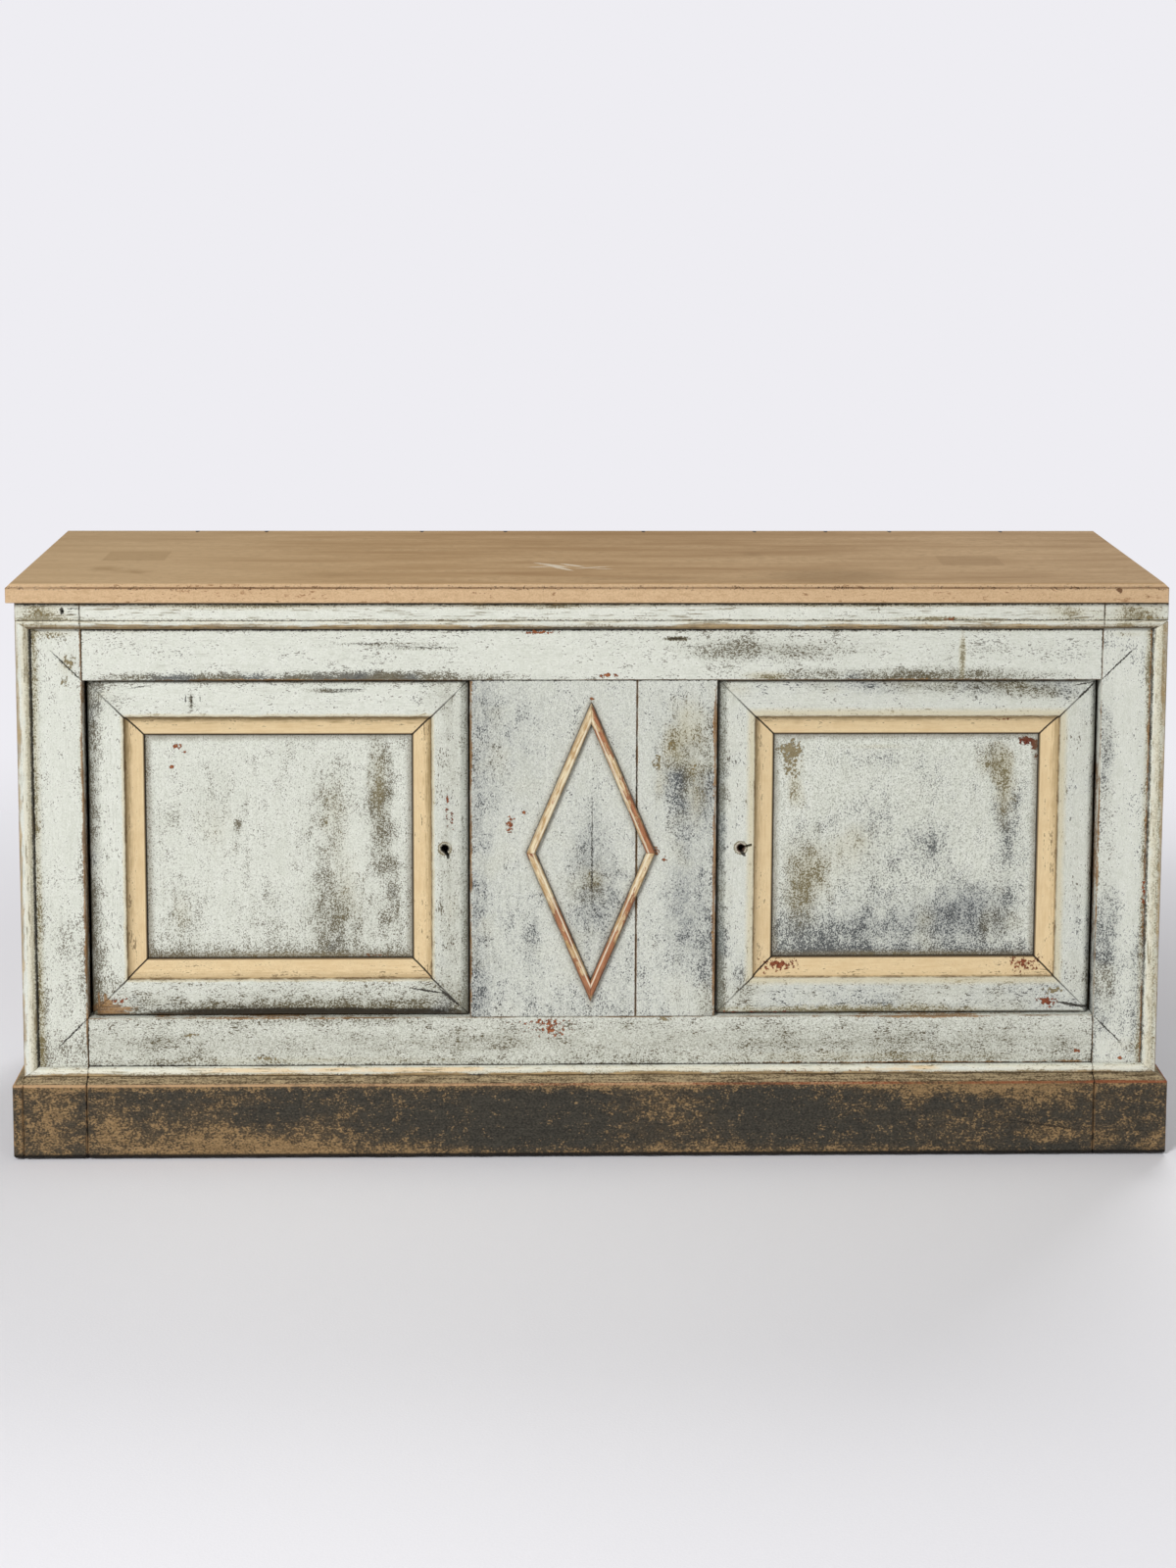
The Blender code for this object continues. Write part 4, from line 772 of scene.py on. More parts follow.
moulding_left = moulding_paint(
    "paint_left_edge", Z, X, (0.974, 0.986), (0.984, 0.995), 0.7, wear=-0.3, bluish=0.35,
    stains=[(-0.976, 0.5, 0.008, 9, 1.6), (-0.99, 0.9, 0.02, 0.06, 0.8)],
    lines=[(-0.9715, 0.5, 0.0028, 9, 0.9)],
)
moulding_right = moulding_paint(
    "paint_right_edge", Z, X, (0.9745, 0.986), (0.978, 0.996), 0.6, wear=0.2, bluish=0.3,
    stains=[(0.985, 0.5, 0.018, 9, 1.3)],
    lines=[(0.9715, 0.5, 0.0022, 9, 0.7)],
)
fascia_paint = moulding_paint(
    "paint_fascia", X, Z, (0.9520, 0.9558), (0.9525, 0.9470), 0.85, wear=0.0, dashes=3, bluish=0.35,
    worn=[(0.3, 0.965, 0.35, 0.012, 0.5), (-0.2, 0.957, 0.5, 0.003, 1.2)],
    stains=[
        (-0.95, 0.968, 0.07, 0.03, 1.5), (0.94, 0.968, 0.08, 0.032, 1.5), (-0.6, 0.982, 0.34, 0.01, 1.6),
        (0, 0.946, 9, 0.007, 0.8), (0.6, 0.961, 0.1, 0.006, 1.2), (-0.1, 0.983, 0.3, 0.009, 1.5),
        (0.45, 0.984, 0.45, 0.008, 1.5), (0.82, 0.972, 0.08, 0.02, 1.2), (0, 0.958, 9, 0.005, 0.7),
    ],
    flakes=[
        (-0.955, 0.97, 0.04, 0.016, 0.55), (0.94, 0.972, 0.06, 0.024, 0.42),
        (0.965, 0.962, 0.03, 0.012, 0.45), (0.62, 0.959, 0.025, 0.004, 0.7),
    ],
    chips=[(0.612, 0.9585, 0.02, 0.004, 0.9), (0.7, 0.955, 0.01, 0.003, 0.8)],
    lines=[
        # The lines along the bead's foot and under the slab are painted shadow, and the dark spot at x
        # -0.914 is painted shade for a peg hole; the rest is dirt in joints and round that hole.
        (0, 0.9425, 9, 0.004, 1.4), *at_posts(0.965, 0.2, 0.0014, 0.9), (0, 0.9865, 9, 0.0042, 1.2),
        (0, 0.9562, 9, 0.002, 0.9), (-0.914, 0.9735, 0.0042, 0.008, 2), (-0.893, 0.9775, 0.02, 0.0014, 1.1),
        (-0.898, 0.9675, 0.014, 0.0013, 1), (-0.9, 0.972, 0.012, 0.001, 0.9),
    ],
)
base_paint = moulding_paint(
    "paint_base_moulding", X, Z, (0.1515, 0.1580), (0.1530, 0.1480), 0.9, wear=-0.2, dashes=3, bluish=0.3,
    peach=[(-0.42, 0.154, 0.34, 9, 1), (0.55, 0.154, 0.12, 9, 0.5)],
    stains=[(0, 0.148, 9, 0.006, 1.2), (0.1, 0.153, 0.6, 0.005, 0.8), (0, 0.158, 9, 0.003, 0.8)],
    chips=[(0.35, 0.15, 0.25, 0.004, 0.3)],
    lines=[(0, 0.146, 9, 0.0026, 1.1), *at_posts(0.15, 0.2, 0.0016, 0.9)],
)
worn_piece("left_edge_moulding", moulding_left)
worn_piece("right_edge_moulding", moulding_right)
for node in ("fascia_centre", "fascia_left_block", "fascia_right_block"):
    worn_piece(node, fascia_paint)
for node in ("base_moulding_centre", "base_moulding_left", "base_moulding_right"):
    worn_piece(node, base_paint)

# Lozenge
# Four thin sticks, mitred and glued on the boards between the doors.
# Cream paint over red-brown: the upper left stick keeps most of it, the others are worn to the wood.
BOARD_FACE = -0.273
LOZENGE_SLOPE = math.degrees(math.atan2(LOZENGE_WIDE, LOZENGE_HIGH))


def lozenge_finish(name, lean, worn):
    """Cream paint on a stick that leans by so many degrees, worn off it as far as worn says, with a painted
    highlight along it and painted shade at its foot.
    """
    f = Finish(name)
    flake = f.clouds(0.006, (1, 1, 4), detail=4, rough=0.66, shift=3.4, turn=lean)
    streak = f.clouds(0.0026, (1, 1, 10), detail=2, shift=6.1, turn=lean)
    patch = f.clouds(0.05, (1, 1, 2), detail=2, shift=1.2, turn=lean)
    outside = past_lozenge(f) + (flake - 0.5) * 0.002
    cream = f.coat((192, 152, 98), (246, 230, 192), (streak * 0.5 + flake * 0.9).rise(0.5, 0.85))
    under = f.coat((122, 62, 36), (186, 112, 64), (streak * 0.7 + flake * 0.5).rise(0.4, 0.8))
    held = 0.74 - worn * 0.35
    gone = (flake + (patch - 0.5) * 1.1 + (streak - 0.5) * 0.2).rise(held, held + 0.05)
    f.colour = f.coat(cream, under, gone * 0.9)
    # Painted highlight: a pale line along the stick.
    lit = (outside + STICK_WIDE - 0.0040).size().rise(0.0018, 0.0008) * (flake + 0.2).rise(0.4, 0.7)
    f.lay((246, 236, 210), lit * 0.7)
    rim = outside.rise(-0.0034, -0.0016).most(outside.rise(-STICK_WIDE + 0.0024, -STICK_WIDE + 0.0008))
    f.lay((88, 60, 36), rim * 0.4)
    # Painted shade on the stick's sides where they meet the board.
    foot_shade = f.y.rise(BOARD_FACE - 0.0055, BOARD_FACE - 0.0020)
    f.lay((52, 40, 28), foot_shade * 0.9)
    return f.close(0.6, gone * -0.6 + streak * 0.3, 0.0005)


for upright, leaning in (("upper", 1), ("lower", -1)):
    for side, sign in (("left", 1), ("right", -1)):
        node = f"lozenge_{upright}_{side}"
        worn = {"lozenge_upper_left": 0.15, "lozenge_upper_right": 0.6}.get(node, 0.85)
        finish = lozenge_finish(f"cream_{node}", LOZENGE_SLOPE * leaning * sign, worn)
        worn_piece(node, finish, arris=0.0008, pitch=0.02, rub=0.0005)

# Pivots and locks
# Each door turns on iron pins, and has a rim lock with a sliding bolt screwed to its back.
# All are dark forged iron, with a drill pin standing in the keyhole for a pipe key.
SCREW_HEAD = 0.0075
SCREW_RISE = 0.0014
SCREW_SLOT = 0.0012
SCREW_INSET = 0.009
for side in ("left", "right"):
    for node in (f"{side}_upper_pivot", f"{side}_lower_pivot"):
        frame["nodes"][node].data.materials.clear()
        frame["nodes"][node].data.materials.append(old_iron)
    worn_piece(f"{side}_lock_case", old_iron, f"{side}_door", arris=0.0008, rub=0.0003)
    worn_piece(f"{side}_lock_bolt", old_iron, f"{side}_bolt", arris=0.0006, rub=0.0002)
    low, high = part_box(f"{side}_lock_case")
    corners = [
        (x, high.y, z)
        for x in (low.x + SCREW_INSET, high.x - SCREW_INSET)
        for z in (low.z + SCREW_INSET, high.z - SCREW_INSET)
    ]
    heads(f"{side}_lock_screws", corners, SCREW_HEAD, SCREW_RISE, SCREW_SLOT, old_iron, f"{side}_door")

# Doors
# Each is a mitred softwood frame round a flat panel, with a hollow worked on the frame's inner edge.
# The flats and panel are grey-green, the hollows cream, and the closing edge is planed to a slight bevel.
DOOR_LOW, DOOR_HIGH = 0.2495, 0.8465
DOOR_INNER, DOOR_OUTER = 0.218, 0.879
FLAT_WIDTH = 0.0640
MEMBER_WIDTH = 0.097
PANEL_MIDDLE_Y = -0.242
DOOR_MIDDLE_X = (DOOR_INNER + DOOR_OUTER) / 2
DOOR_MIDDLE_Z = (DOOR_LOW + DOOR_HIGH) / 2
DOOR_SIGN = {"left": -1, "right": 1}
CREAM_BLEED = {"left": 0.007, "right": 0.018}
HINGE_SHADE = {"left": 0.026, "right": 0.013}
HOLLOW_SHADE_AND_DIRT = {"left": 0.9, "right": 0.6}
KEYHOLE_X, KEYHOLE_Z = 0.259, 0.54775
KEY_RING = 0.0125
KEYHOLE_DARK = {"left": (44, 37, 27), "right": (92, 60, 46)}
frame_marks = {
    "left": {
        "wear": 0.3,
        "bluish": 0.33,
        "smears": [
            (-0.25, 0.55, 0.06, 9, 0.7), (-0.55, 0.265, 9, 0.06, 0.6), (-0.5, 0.252, 0.4, 0.026, 0.5),
        ],
        "bare": [
            (-0.84, 0.258, 0.065, 0.018, 1), (-0.855, 0.275, 0.024, 0.032, 0.8),
            (-0.7, 0.2512, 0.15, 0.003, 0.8),
        ],
        "worn": [
            (-0.879, 0.55, 0.034, 9, 1.5), (-0.55, 0.8465, 9, 0.018, 0.7), (-0.5, 0.252, 0.42, 0.034, 1.2),
            (-0.5, 0.25, 0.4, 0.014, 1.5), (-0.222, 0.55, 0.01, 9, 1), (-0.698, 0.812, 0.007, 0.024, 1.5),
            (-0.452, 0.829, 0.07, 0.006, 1.6), (-0.84, 0.81, 0.05, 0.04, 0.8), (-0.3, 0.55, 0.02, 9, 0.3),
        ],
        "stains": [
            (-0.25, 0.44, 0.02, 0.05, 0.6), (-0.85, 0.82, 0.03, 0.02, 0.6), (-0.3, 0.79, 0.03, 0.03, 0.4),
        ],
        "chips": [
            (-0.83, 0.275, 0.02, 0.012, 0.6), (-0.254, 0.625, 0.005, 0.05, 0.75),
            (-0.246, 0.605, 0.004, 0.03, 0.75),
        ],
        "lines": [
            (-0.288, 0.291, 0.042, 0.0026, 1.6, 9), (-0.252, 0.28, 0.034, 0.0034, 1.6, 42),
            (-0.5, 0.2535, 0.4, 0.011, 1.4), (-0.62, 0.264, 0.12, 0.0016, 0.6),
            (-0.74, 0.268, 0.1, 0.0014, 0.6), (-0.707, 0.815, 0.0022, 0.014, 0.9),
            (-0.697, 0.812, 0.0018, 0.018, 0.9), (-0.682, 0.814, 0.0016, 0.012, 0.8),
            (-0.785, 0.836, 0.035, 0.0016, 0.8, -8), (-0.42, 0.8315, 0.06, 0.0014, 0.7),
            (-0.45, 0.8265, 0.04, 0.0012, 0.6),
        ],
    },
    "right": {
        "wear": 0.1,
        "bluish": 0.47,
        "smears": [(0.55, 0.55, 9, 9, 0.42), (0.55, 0.28, 9, 0.06, 0.15), (0.7, 0.838, 0.36, 0.024, 0.6)],
        "worn": [
            # The mark at x 0.224 adds specks of worn paint along the closing edge, and also stands as
            # painted shade there.
            (0.48, 0.838, 0.25, 0.02, 0.9), (0.74, 0.834, 0.16, 0.03, 1.4), (0.224, 0.55, 0.018, 9, 1.5),
            (0.876, 0.55, 0.01, 9, 0.9), (0.45, 0.256, 0.3, 0.014, 0.6), (0.81, 0.82, 0.06, 0.03, 0.6),
            (0.27, 0.3, 0.03, 0.04, 0.5),
        ],
        "stains": [
            (0.45, 0.253, 0.36, 0.014, 1.8), (0.25, 0.83, 0.04, 0.02, 0.7), (0.42, 0.83, 0.03, 0.012, 0.6),
            (0.84, 0.8, 0.02, 0.04, 0.5),
        ],
        "chips": [
            (0.325, 0.334, 0.055, 0.02, 0.72), (0.764, 0.335, 0.05, 0.022, 0.75),
            (0.805, 0.268, 0.03, 0.014, 0.8), (0.25, 0.2505, 0.3, 0.003, 0.5),
            (0.72, 0.776, 0.04, 0.004, 0.7),
        ],
        "flakes": [(0.812, 0.288, 0.028, 0.01, 0.8)],
        "lines": [
            (0.85, 0.262, 0.04, 0.0036, 1.8, 10), (0.86, 0.828, 0.03, 0.0028, 1.5, -45),
            (0.855, 0.84, 0.03, 0.002, 1.2, -10),
        ],
    },
}
panel_marks = {
    "left": {
        "wear": 0.45,
        "crazed": 0.4,
        "bluish": 0.27,
        "worn": [
            (-0.372, 0.63, 0.035, 0.16, 1.6), (-0.464, 0.62, 0.06, 0.11, 0.6),
            (-0.47, 0.48, 0.05, 0.16, 0.6), (-0.722, 0.424, 0.05, 0.1, 0.5), (-0.66, 0.6, 0.06, 0.12, 0.3),
            (-0.782, 0.55, 0.022, 9, 0.7), (-0.55, 0.3465, 9, 0.035, 0.8), (-0.35, 0.46, 0.05, 0.16, 0.8),
            (-0.6, 0.42, 0.12, 0.09, 0.1), (-0.735, 0.6, 0.03, 0.04, 0.8), (-0.62, 0.585, 0.012, 0.02, 1.4),
            (-0.44, 0.42, 0.07, 0.1, 0.6),
        ],
        "smears": [
            (-0.372, 0.62, 0.04, 0.15, 0.4), (-0.44, 0.42, 0.12, 0.1, 0.35), (-0.55, 0.55, 9, 9, 0.1),
        ],
        "stains": [
            (-0.376, 0.66, 0.026, 0.12, 0.8), (-0.455, 0.61, 0.05, 0.12, 0.6),
            (-0.722, 0.43, 0.03, 0.07, 0.6), (-0.43, 0.47, 0.05, 0.12, 0.6),
            (-0.55, 0.352, 0.25, 0.01, 0.8), (-0.66, 0.58, 0.06, 0.09, 0.5),
        ],
        "chips": [
            (-0.724, 0.727, 0.013, 0.007, 1), (-0.735, 0.691, 0.007, 0.006, 1),
            (-0.712, 0.717, 0.005, 0.005, 0.8), (-0.38, 0.351, 0.03, 0.004, 0.7),
        ],
    },
    "right": {
        "wear": 0.25,
        "crazed": 0.7,
        "bluish": 0.66,
        "worn": [
            (0.665, 0.435, 0.12, 0.07, 0.7), (0.55, 0.395, 0.26, 0.055, 0.6),
            (0.723, 0.64, 0.035, 0.13, 1.4), (0.37, 0.48, 0.06, 0.13, 1.2), (0.52, 0.54, 0.2, 0.14, 0.7),
            (0.55, 0.3465, 9, 0.03, 1.2), (0.74, 0.5, 0.05, 0.15, 0.7), (0.4, 0.38, 0.12, 0.05, 0.8),
            (0.6, 0.54, 0.06, 0.06, 0.5), (0.52, 0.7, 0.15, 0.03, 0.6), (0.7, 0.705, 0.05, 0.045, 0.9),
        ],
        "smears": [(0.665, 0.435, 0.11, 0.08, 0.7), (0.55, 0.4, 0.26, 0.08, 0.6), (0.55, 0.55, 9, 9, 0.15)],
        "stains": [
            (0.356, 0.637, 0.025, 0.04, 1), (0.37, 0.48, 0.06, 0.12, 1.2), (0.723, 0.655, 0.03, 0.11, 1.3),
            (0.5, 0.725, 0.09, 0.008, 0.8), (0.55, 0.35, 0.3, 0.01, 1), (0.35, 0.69, 0.03, 0.05, 0.9),
            (0.47, 0.56, 0.06, 0.05, 0.6), (0.43, 0.52, 0.08, 0.08, 0.6), (0.7, 0.7, 0.05, 0.05, 1),
        ],
        "ground": ((84, 38, 28), (128, 64, 42)),
        "flakes": [
            (0.345, 0.718, 0.036, 0.03, 0.95), (0.347, 0.682, 0.028, 0.03, 0.65),
            (0.352, 0.64, 0.016, 0.02, 0.5),
        ],
        "chips": [
            (0.76, 0.736, 0.022, 0.012, 1.15), (0.775, 0.725, 0.009, 0.016, 1.1),
            (0.777, 0.705, 0.006, 0.01, 0.9),
        ],
    },
}


def from_edges(f, side, inset=0.0):
    """How far a place lies within a door's upright edges and its level ones, less inset."""
    from_side = (f.x * DOOR_SIGN[side] - DOOR_MIDDLE_X).size() * -1 + ((DOOR_OUTER - DOOR_INNER) / 2 - inset)
    from_level = (f.z - DOOR_MIDDLE_Z).size() * -1 + ((DOOR_HIGH - DOOR_LOW) / 2 - inset)
    return from_side, from_level


def frame_finish(side, grain):
    """Paint of a door's stiles or rails: grey-green flats, cream hollows and dark lines at the mitres, with
    painted shade along the door's edges, in the hollows and on their lips.
    """
    sign = DOOR_SIGN[side]
    members = "rails" if grain == X else "stiles"
    f = old_paint(f"paint_{side}_door_{members}", grain, dashes=2.6, **frame_marks[side])
    from_side, from_level = from_edges(f, side)
    inwards = from_side.least(from_level)
    mitre = (from_side - from_level).size()
    ragged = (f.cluster - 0.5) * 0.006 + (f.grit - 0.5) * 0.003
    bled = CREAM_BLEED[side]
    f.lay((222, 208, 168), (inwards + ragged * 1.5).rise(FLAT_WIDTH - bled, FLAT_WIDTH - bled * 0.3) * 0.6)
    # Painted shade along the hinge edge, where the post's shadow falls on the recessed door.
    hinge = f.x * -sign + DOOR_OUTER + ragged * 0.8
    f.lay((56, 52, 46), hinge.rise(HINGE_SHADE[side], HINGE_SHADE[side] * 0.1) * (f.grit * 0.8 + 0.05))
    # Painted shade: a grey band along the closing edge, for the light falling off its bevel.
    closing = f.x * sign - DOOR_INNER + ragged
    f.lay((146, 152, 144), closing.rise(0.016, 0.011) * 0.35)
    # Painted shade: a dark band round the door's edges, except at the hinge, for the shade in the gap.
    edge_shade = (inwards + ragged * 0.6).rise(0.0045, 0.001) * hinge.rise(0.0, 0.02)
    f.lay((62, 54, 42), edge_shade * 0.7)
    streak = f.clouds(0.0030, drawn_out(grain, 14), detail=3, shift=5.2)
    cream = f.coat((226, 198, 152), (241, 217, 173), (streak * 0.5 + f.cluster * 0.7).rise(0.35, 0.8))
    low_side = f.z.rise(DOOR_MIDDLE_Z + 0.18, DOOR_MIDDLE_Z - 0.18)
    # Painted shade and dirt in the hollow: darker towards its outer edge, less low on the door, where the
    # hollow faces up.
    depth = inwards - FLAT_WIDTH + (streak - 0.5) * 0.016 + (f.cluster - 0.5) * 0.012
    darkening = depth.rise(0.015, 0.001) * (low_side * -0.5 + HOLLOW_SHADE_AND_DIRT[side])
    cream = f.coat(cream, (146, 124, 84), darkening)
    bare = (f.grit * 0.6 + f.cluster * 0.9 + streak * 0.9 + inwards * -5).rise(0.96, 1.10)
    cream = f.coat(cream, (112, 88, 56), bare * 0.75)
    hollow = (inwards + ragged * 0.3).rise(FLAT_WIDTH - 0.0008, FLAT_WIDTH + 0.0008)
    f.lay(cream, hollow)
    red = f.coat((108, 54, 36), (156, 88, 56), f.grit.rise(0.35, 0.65))
    f.lay(red, f.patches(frame_marks[side]["chips"], f.peeled, 0.5, 0.58))
    # Painted shade on the lip's inner face, for the dark gap at the panel's edge.
    lip_shade = inwards.rise(MEMBER_WIDTH - 0.0026, MEMBER_WIDTH - 0.0008)
    f.lay((88, 66, 42), lip_shade * 0.8)
    # Dirt and painted shade in the crease where the flat meets the hollow.
    corner = (inwards - FLAT_WIDTH).size().rise(0.0026, 0.0008)
    f.lay((96, 74, 44), corner * (f.cluster + f.grit * 0.4).rise(0.45, 0.8) * 0.65)
    crack = (mitre + (f.grit - 0.5) * 0.002).rise(0.0030, 0.0012)
    open_far = (inwards + (f.cluster - 0.5) * 0.06).rise(0.01, 0.075) * 0.75 + 0.2
    f.lay((44, 34, 24), crack * open_far)
    from_hole = f.laid(f.strayed(0.0015), (sign * KEYHOLE_X, 0, KEYHOLE_Z), (1, 1000, 1)).length()
    f.lay((176, 160, 118), from_hole.rise(KEY_RING, KEY_RING - 0.003) * 0.35)
    ring = (from_hole - KEY_RING * 0.9).size().rise(0.0020, 0.0006)
    f.lay((112, 96, 58), ring * (f.cluster + f.grit * 0.4).rise(0.4, 0.75) * 0.8)
    # A dark disc round the keyhole, wider than its hole, and its slot painted near-black as the shade in an
    # opening.
    f.lay(KEYHOLE_DARK[side], from_hole.rise(KEY_RING * 0.75, KEY_RING * 0.55) * 0.92)
    keyhole_slot_shade = f.marks([(sign * KEYHOLE_X + 0.0035, KEYHOLE_Z - 0.0095, 0.0095, 0.004, 1.6, 50)])
    f.lay((26, 20, 15), keyhole_slot_shade.rise(0.2, 0.6) * 0.9)
    return close_front(f)


def panel_finish(side):
    """Paint of a door's panel, with dirt and painted shade along the hollows that hold it, and a painted
    shadow line at its edge.
    """
    f = old_paint(f"paint_{side}_door_panel", Z, dashes=1.3, **panel_marks[side])
    from_side, from_level = from_edges(f, side, MEMBER_WIDTH)
    inwards = from_side.least(from_level)
    # Dirt and painted shade along the hollows, below their lips.
    grime_and_shade = inwards + (f.cluster - 0.5) * 0.012 + (f.grit - 0.5) * 0.012
    f.lay((112, 98, 74), grime_and_shade.rise(0.016, 0.002) * 0.6)
    # Painted shadow: a near-black line at the panel's edge, for the gap in the groove.
    gap_shadow = inwards + (f.cluster - 0.5) * 0.002
    f.lay((34, 28, 22), gap_shadow.rise(0.0032, 0.0016) * 0.85)
    return close_paint(f, before(f, PANEL_MIDDLE_Y, 0.001))


for side in ("left", "right"):
    stiles = frame_finish(side, Z)
    rails = frame_finish(side, X)
    for member in ("hinge_stile", "lock_stile", "top_rail", "bottom_rail"):
        worn_piece(f"{side}_door_{member}", stiles if "stile" in member else rails, body=f"{side}_door")
    worn_piece(f"{side}_door_panel", panel_finish(side), body=f"{side}_door")

# Stone top
# One slab of warm limestone, honed above and tooled along the front and ends, with a sloped arris.
# It lies loose on the cabinet: its top is stained where things stood, and its edge is pitted and chipped.
SLAB_TOP = 1.022
SLAB_SEAM = SLAB_TOP - 0.007
SLAB_REAR = 0.300
STOOD = ((-0.825, 0.002), (0.686, -0.052))
REAR_SPOTS = (-0.751, -0.618, -0.319, -0.158, 0.109, 0.324, 0.462, 0.586, 0.802)


def stone_finish():
    f = Finish("limestone")
    cloud = f.clouds(0.5, (2.5, 1, 1), detail=3)
    vein = f.clouds(0.05, (7, 1, 1), detail=4, rough=0.6, shift=1.9)
    grain = f.clouds(0.006, (2.5, 1, 1), detail=4, rough=0.65, shift=4.2)
    grit = f.clouds(0.0024, detail=3, rough=0.6, shift=6.6)
    top = f.coat((168, 132, 88), (208, 174, 130), (vein * 0.8 + cloud * 0.5).rise(0.42, 0.88))
    top = f.coat(top, (148, 118, 80), (grain * 0.8 + vein * 0.5).rise(0.62, 0.9) * 0.5)
    # Painted light: the top is lighter towards its left end, where the light falls.
    top = f.coat(top, (206, 182, 146), f.x.rise(-0.25, -0.95) * 0.35)
    ghost = f.marks([
        (0.42, -0.22, 0.17, 0.13, 0.9), (-0.86, -0.14, 0.05, 0.05, 0.6), (-0.8, -0.17, 0.05, 0.04, 0.6),
        (-0.45, -0.2, 0.16, 0.05, 0.5), (0.3, 0.02, 0.05, 0.06, 0.5), (0.1, -0.24, 0.25, 0.04, 0.5),
    ], flat=Z)
    for middle_x, middle_y in STOOD:
        stood = (f.x - middle_x).size().rise(0.060, 0.054) * (f.y - middle_y).size().rise(0.056, 0.048)
        ghost = ghost + stood * 0.4
    top = f.coat(top, (140, 108, 64), (ghost + (vein - 0.5) * 0.5).rise(0.1, 0.7) * 0.5)
    scrape = f.marks([
        (-0.078, -0.093, 0.042, 0.006, 1.5, -37), (-0.052, -0.138, 0.036, 0.006, 1.5, -50),
        (-0.036, -0.1, 0.034, 0.006, 1.4, -39), (0.002, -0.125, 0.044, 0.005, 1.1, 19),
        (-0.066, -0.112, 0.034, 0.0045, 1.1, -30), (-0.095, -0.118, 0.03, 0.004, 0.9, 12),
        (0.02, -0.14, 0.03, 0.004, 0.8, -8), (-0.05, -0.115, 0.07, 0.03, 0.25),
    ], flat=Z)
    top = f.coat(top, (236, 224, 202), (scrape + (grit - 0.5) * 0.8).rise(0.15, 0.7) * 0.85)
    rear = f.marks([(x, SLAB_REAR, 0.005, 0.022, 1.8) for x in REAR_SPOTS], flat=Z)
    top = f.coat(top, (48, 38, 28), rear.rise(0.2, 0.6) * 0.9)
    edge = f.coat((202, 168, 128), (234, 202, 162), (grain * 0.7 + grit * 0.6).rise(0.4, 0.9))
    edge = f.coat(edge, (160, 116, 78), (grain * 0.9 + vein * 0.4 + grit * 0.3).rise(0.86, 1.0) * 0.8)
    pits = (grit * 0.7 + grain * 0.7).rise(0.88, 0.98)
    edge = f.coat(edge, (96, 72, 48), pits * 0.8)
    knock = f.marks([(0.905, 1.0125, 0.008, 0.005, 1.2), (0.908, 1.009, 0.004, 0.005, 1.1)])
    edge = f.coat(edge, (112, 76, 50), (knock + (grain - 0.5) * 1.2).rise(0.35, 0.6) * 0.9)
    from_seam = (f.z - SLAB_SEAM).size()
    edge = f.coat(edge, (118, 84, 54), from_seam.rise(0.0024, 0.0008) * vein.rise(0.25, 0.55) * 0.8)
    picked = from_seam.rise(0.0050, 0.0015) * (grit + grain * 0.5).rise(0.80, 0.88)
    edge = f.coat(edge, (70, 50, 34), picked * 0.85)
    f.colour = f.coat(edge, top, f.z.rise(SLAB_TOP - 0.0016, SLAB_TOP - 0.0004))
    f.shader.inputs["Specular IOR Level"].default_value = 0.2
    return f.close(grain * 0.2 + 0.6, grain * 0.5 + grit * 0.4 - pits * 0.8, 0.0005)


worn_piece("stone_top", stone_finish(), arris=0.0012, pitch=0.012, rub=0.0012)

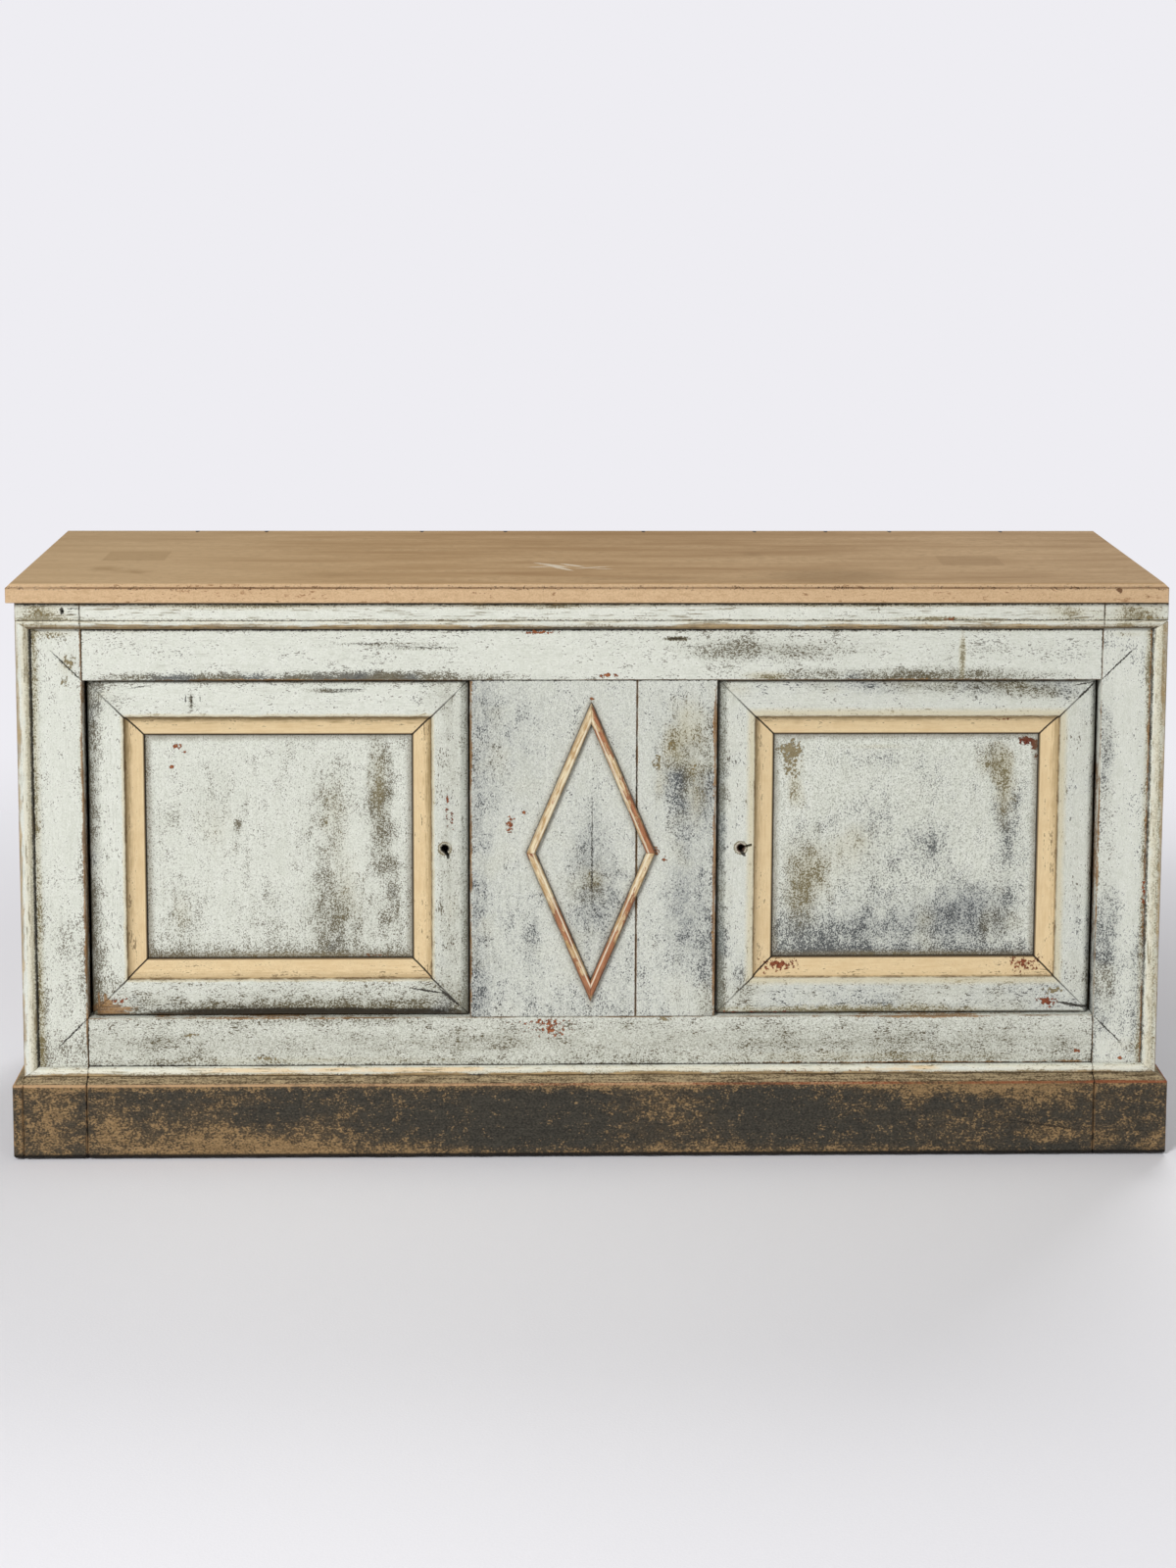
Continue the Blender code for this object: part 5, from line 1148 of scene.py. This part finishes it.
# Studio
# A pale floor that fades into a pale surround, one large soft light from the upper left, and weaker ones.
# The camera stands where the photograph was taken from, a little left of the middle and above the slab.
FLOOR_RADIUS = 12.0
FADE_FROM, FADE_TO = 0.9, 3.4
floor_shape = bmesh.new()
bmesh.ops.create_circle(floor_shape, cap_ends=True, segments=96, radius=FLOOR_RADIUS)
floor_mesh = bpy.data.meshes.new("floor")
floor_shape.to_mesh(floor_mesh)
floor_shape.free()
floor = add_object("floor", floor_mesh)
cloth = Finish("pale_floor")
thread = cloth.clouds(0.004, detail=2)
tone = cloth.clouds(1.5, detail=2, shift=3)
cloth.colour = cloth.coat((246, 245, 250), (252, 251, 255), (tone * 0.8 + thread * 0.4).rise(0.3, 0.9))
far_out = (cloth.x * cloth.x + cloth.y * cloth.y).reckon("SQRT")
put(cloth.tree, far_out.rise(FADE_TO, FADE_FROM), cloth.shader.inputs["Alpha"])
floor_mesh.materials.append(cloth.close(0.9, thread, 0.0003))

world = bpy.data.worlds.new("surround")
world.use_nodes = True
sky = world.node_tree
lit = sky.nodes["Background"]
lit.inputs["Color"].default_value = linear((240, 239, 236))
lit.inputs["Strength"].default_value = 0.20
seen = add_node(sky, "ShaderNodeBackground", {"Color": linear((238, 237, 242))})[0]
ray = add_node(sky, "ShaderNodeLightPath", {})["Is Camera Ray"]
choice = add_node(sky, "ShaderNodeMixShader", {0: ray, 1: lit.outputs[0], 2: seen})[0]
put(sky, choice, sky.nodes["World Output"].inputs["Surface"])
bpy.context.scene.world = world


LIGHT_AIM = Vector((0, 0, 0.5))


def softbox(name, place, size, power):
    """A large rectangular light that looks at the middle of the cabinet."""
    lamp = bpy.data.lights.new(name, "AREA")
    lamp.shape = "RECTANGLE"
    lamp.size, lamp.size_y = size
    lamp.energy = power
    box = add_object(name, lamp)
    box.location = place
    box.visible_camera = False
    box.rotation_euler = (LIGHT_AIM - Vector(place)).to_track_quat("-Z", "Y").to_euler()


softbox("main_light", (-3.6, -5.6, 5.0), (2.2, 1.7), 420)
softbox("fill_light", (5.0, -7.0, 2.6), (4.5, 3.6), 100)
softbox("rear_light", (3.0, 6.0, 6.5), (4.0, 3.0), 260)

EYE = (-0.115, -4.853, 1.818)
TURN, DIP, TILT = math.radians(-1.293), math.radians(83.184), math.radians(0.212)
lens = bpy.data.cameras.new("camera")
lens.sensor_width = 36
lens.lens = 61.80
lens.shift_y = -0.2202
camera = add_object("camera", lens)
turned = Matrix.Rotation(TURN, 4, "Z") @ Matrix.Rotation(DIP, 4, "X") @ Matrix.Rotation(TILT, 4, "Z")
camera.matrix_world = Matrix.Translation(EYE) @ turned
bpy.context.scene.camera = camera
bpy.context.scene.view_settings.view_transform = "Standard"
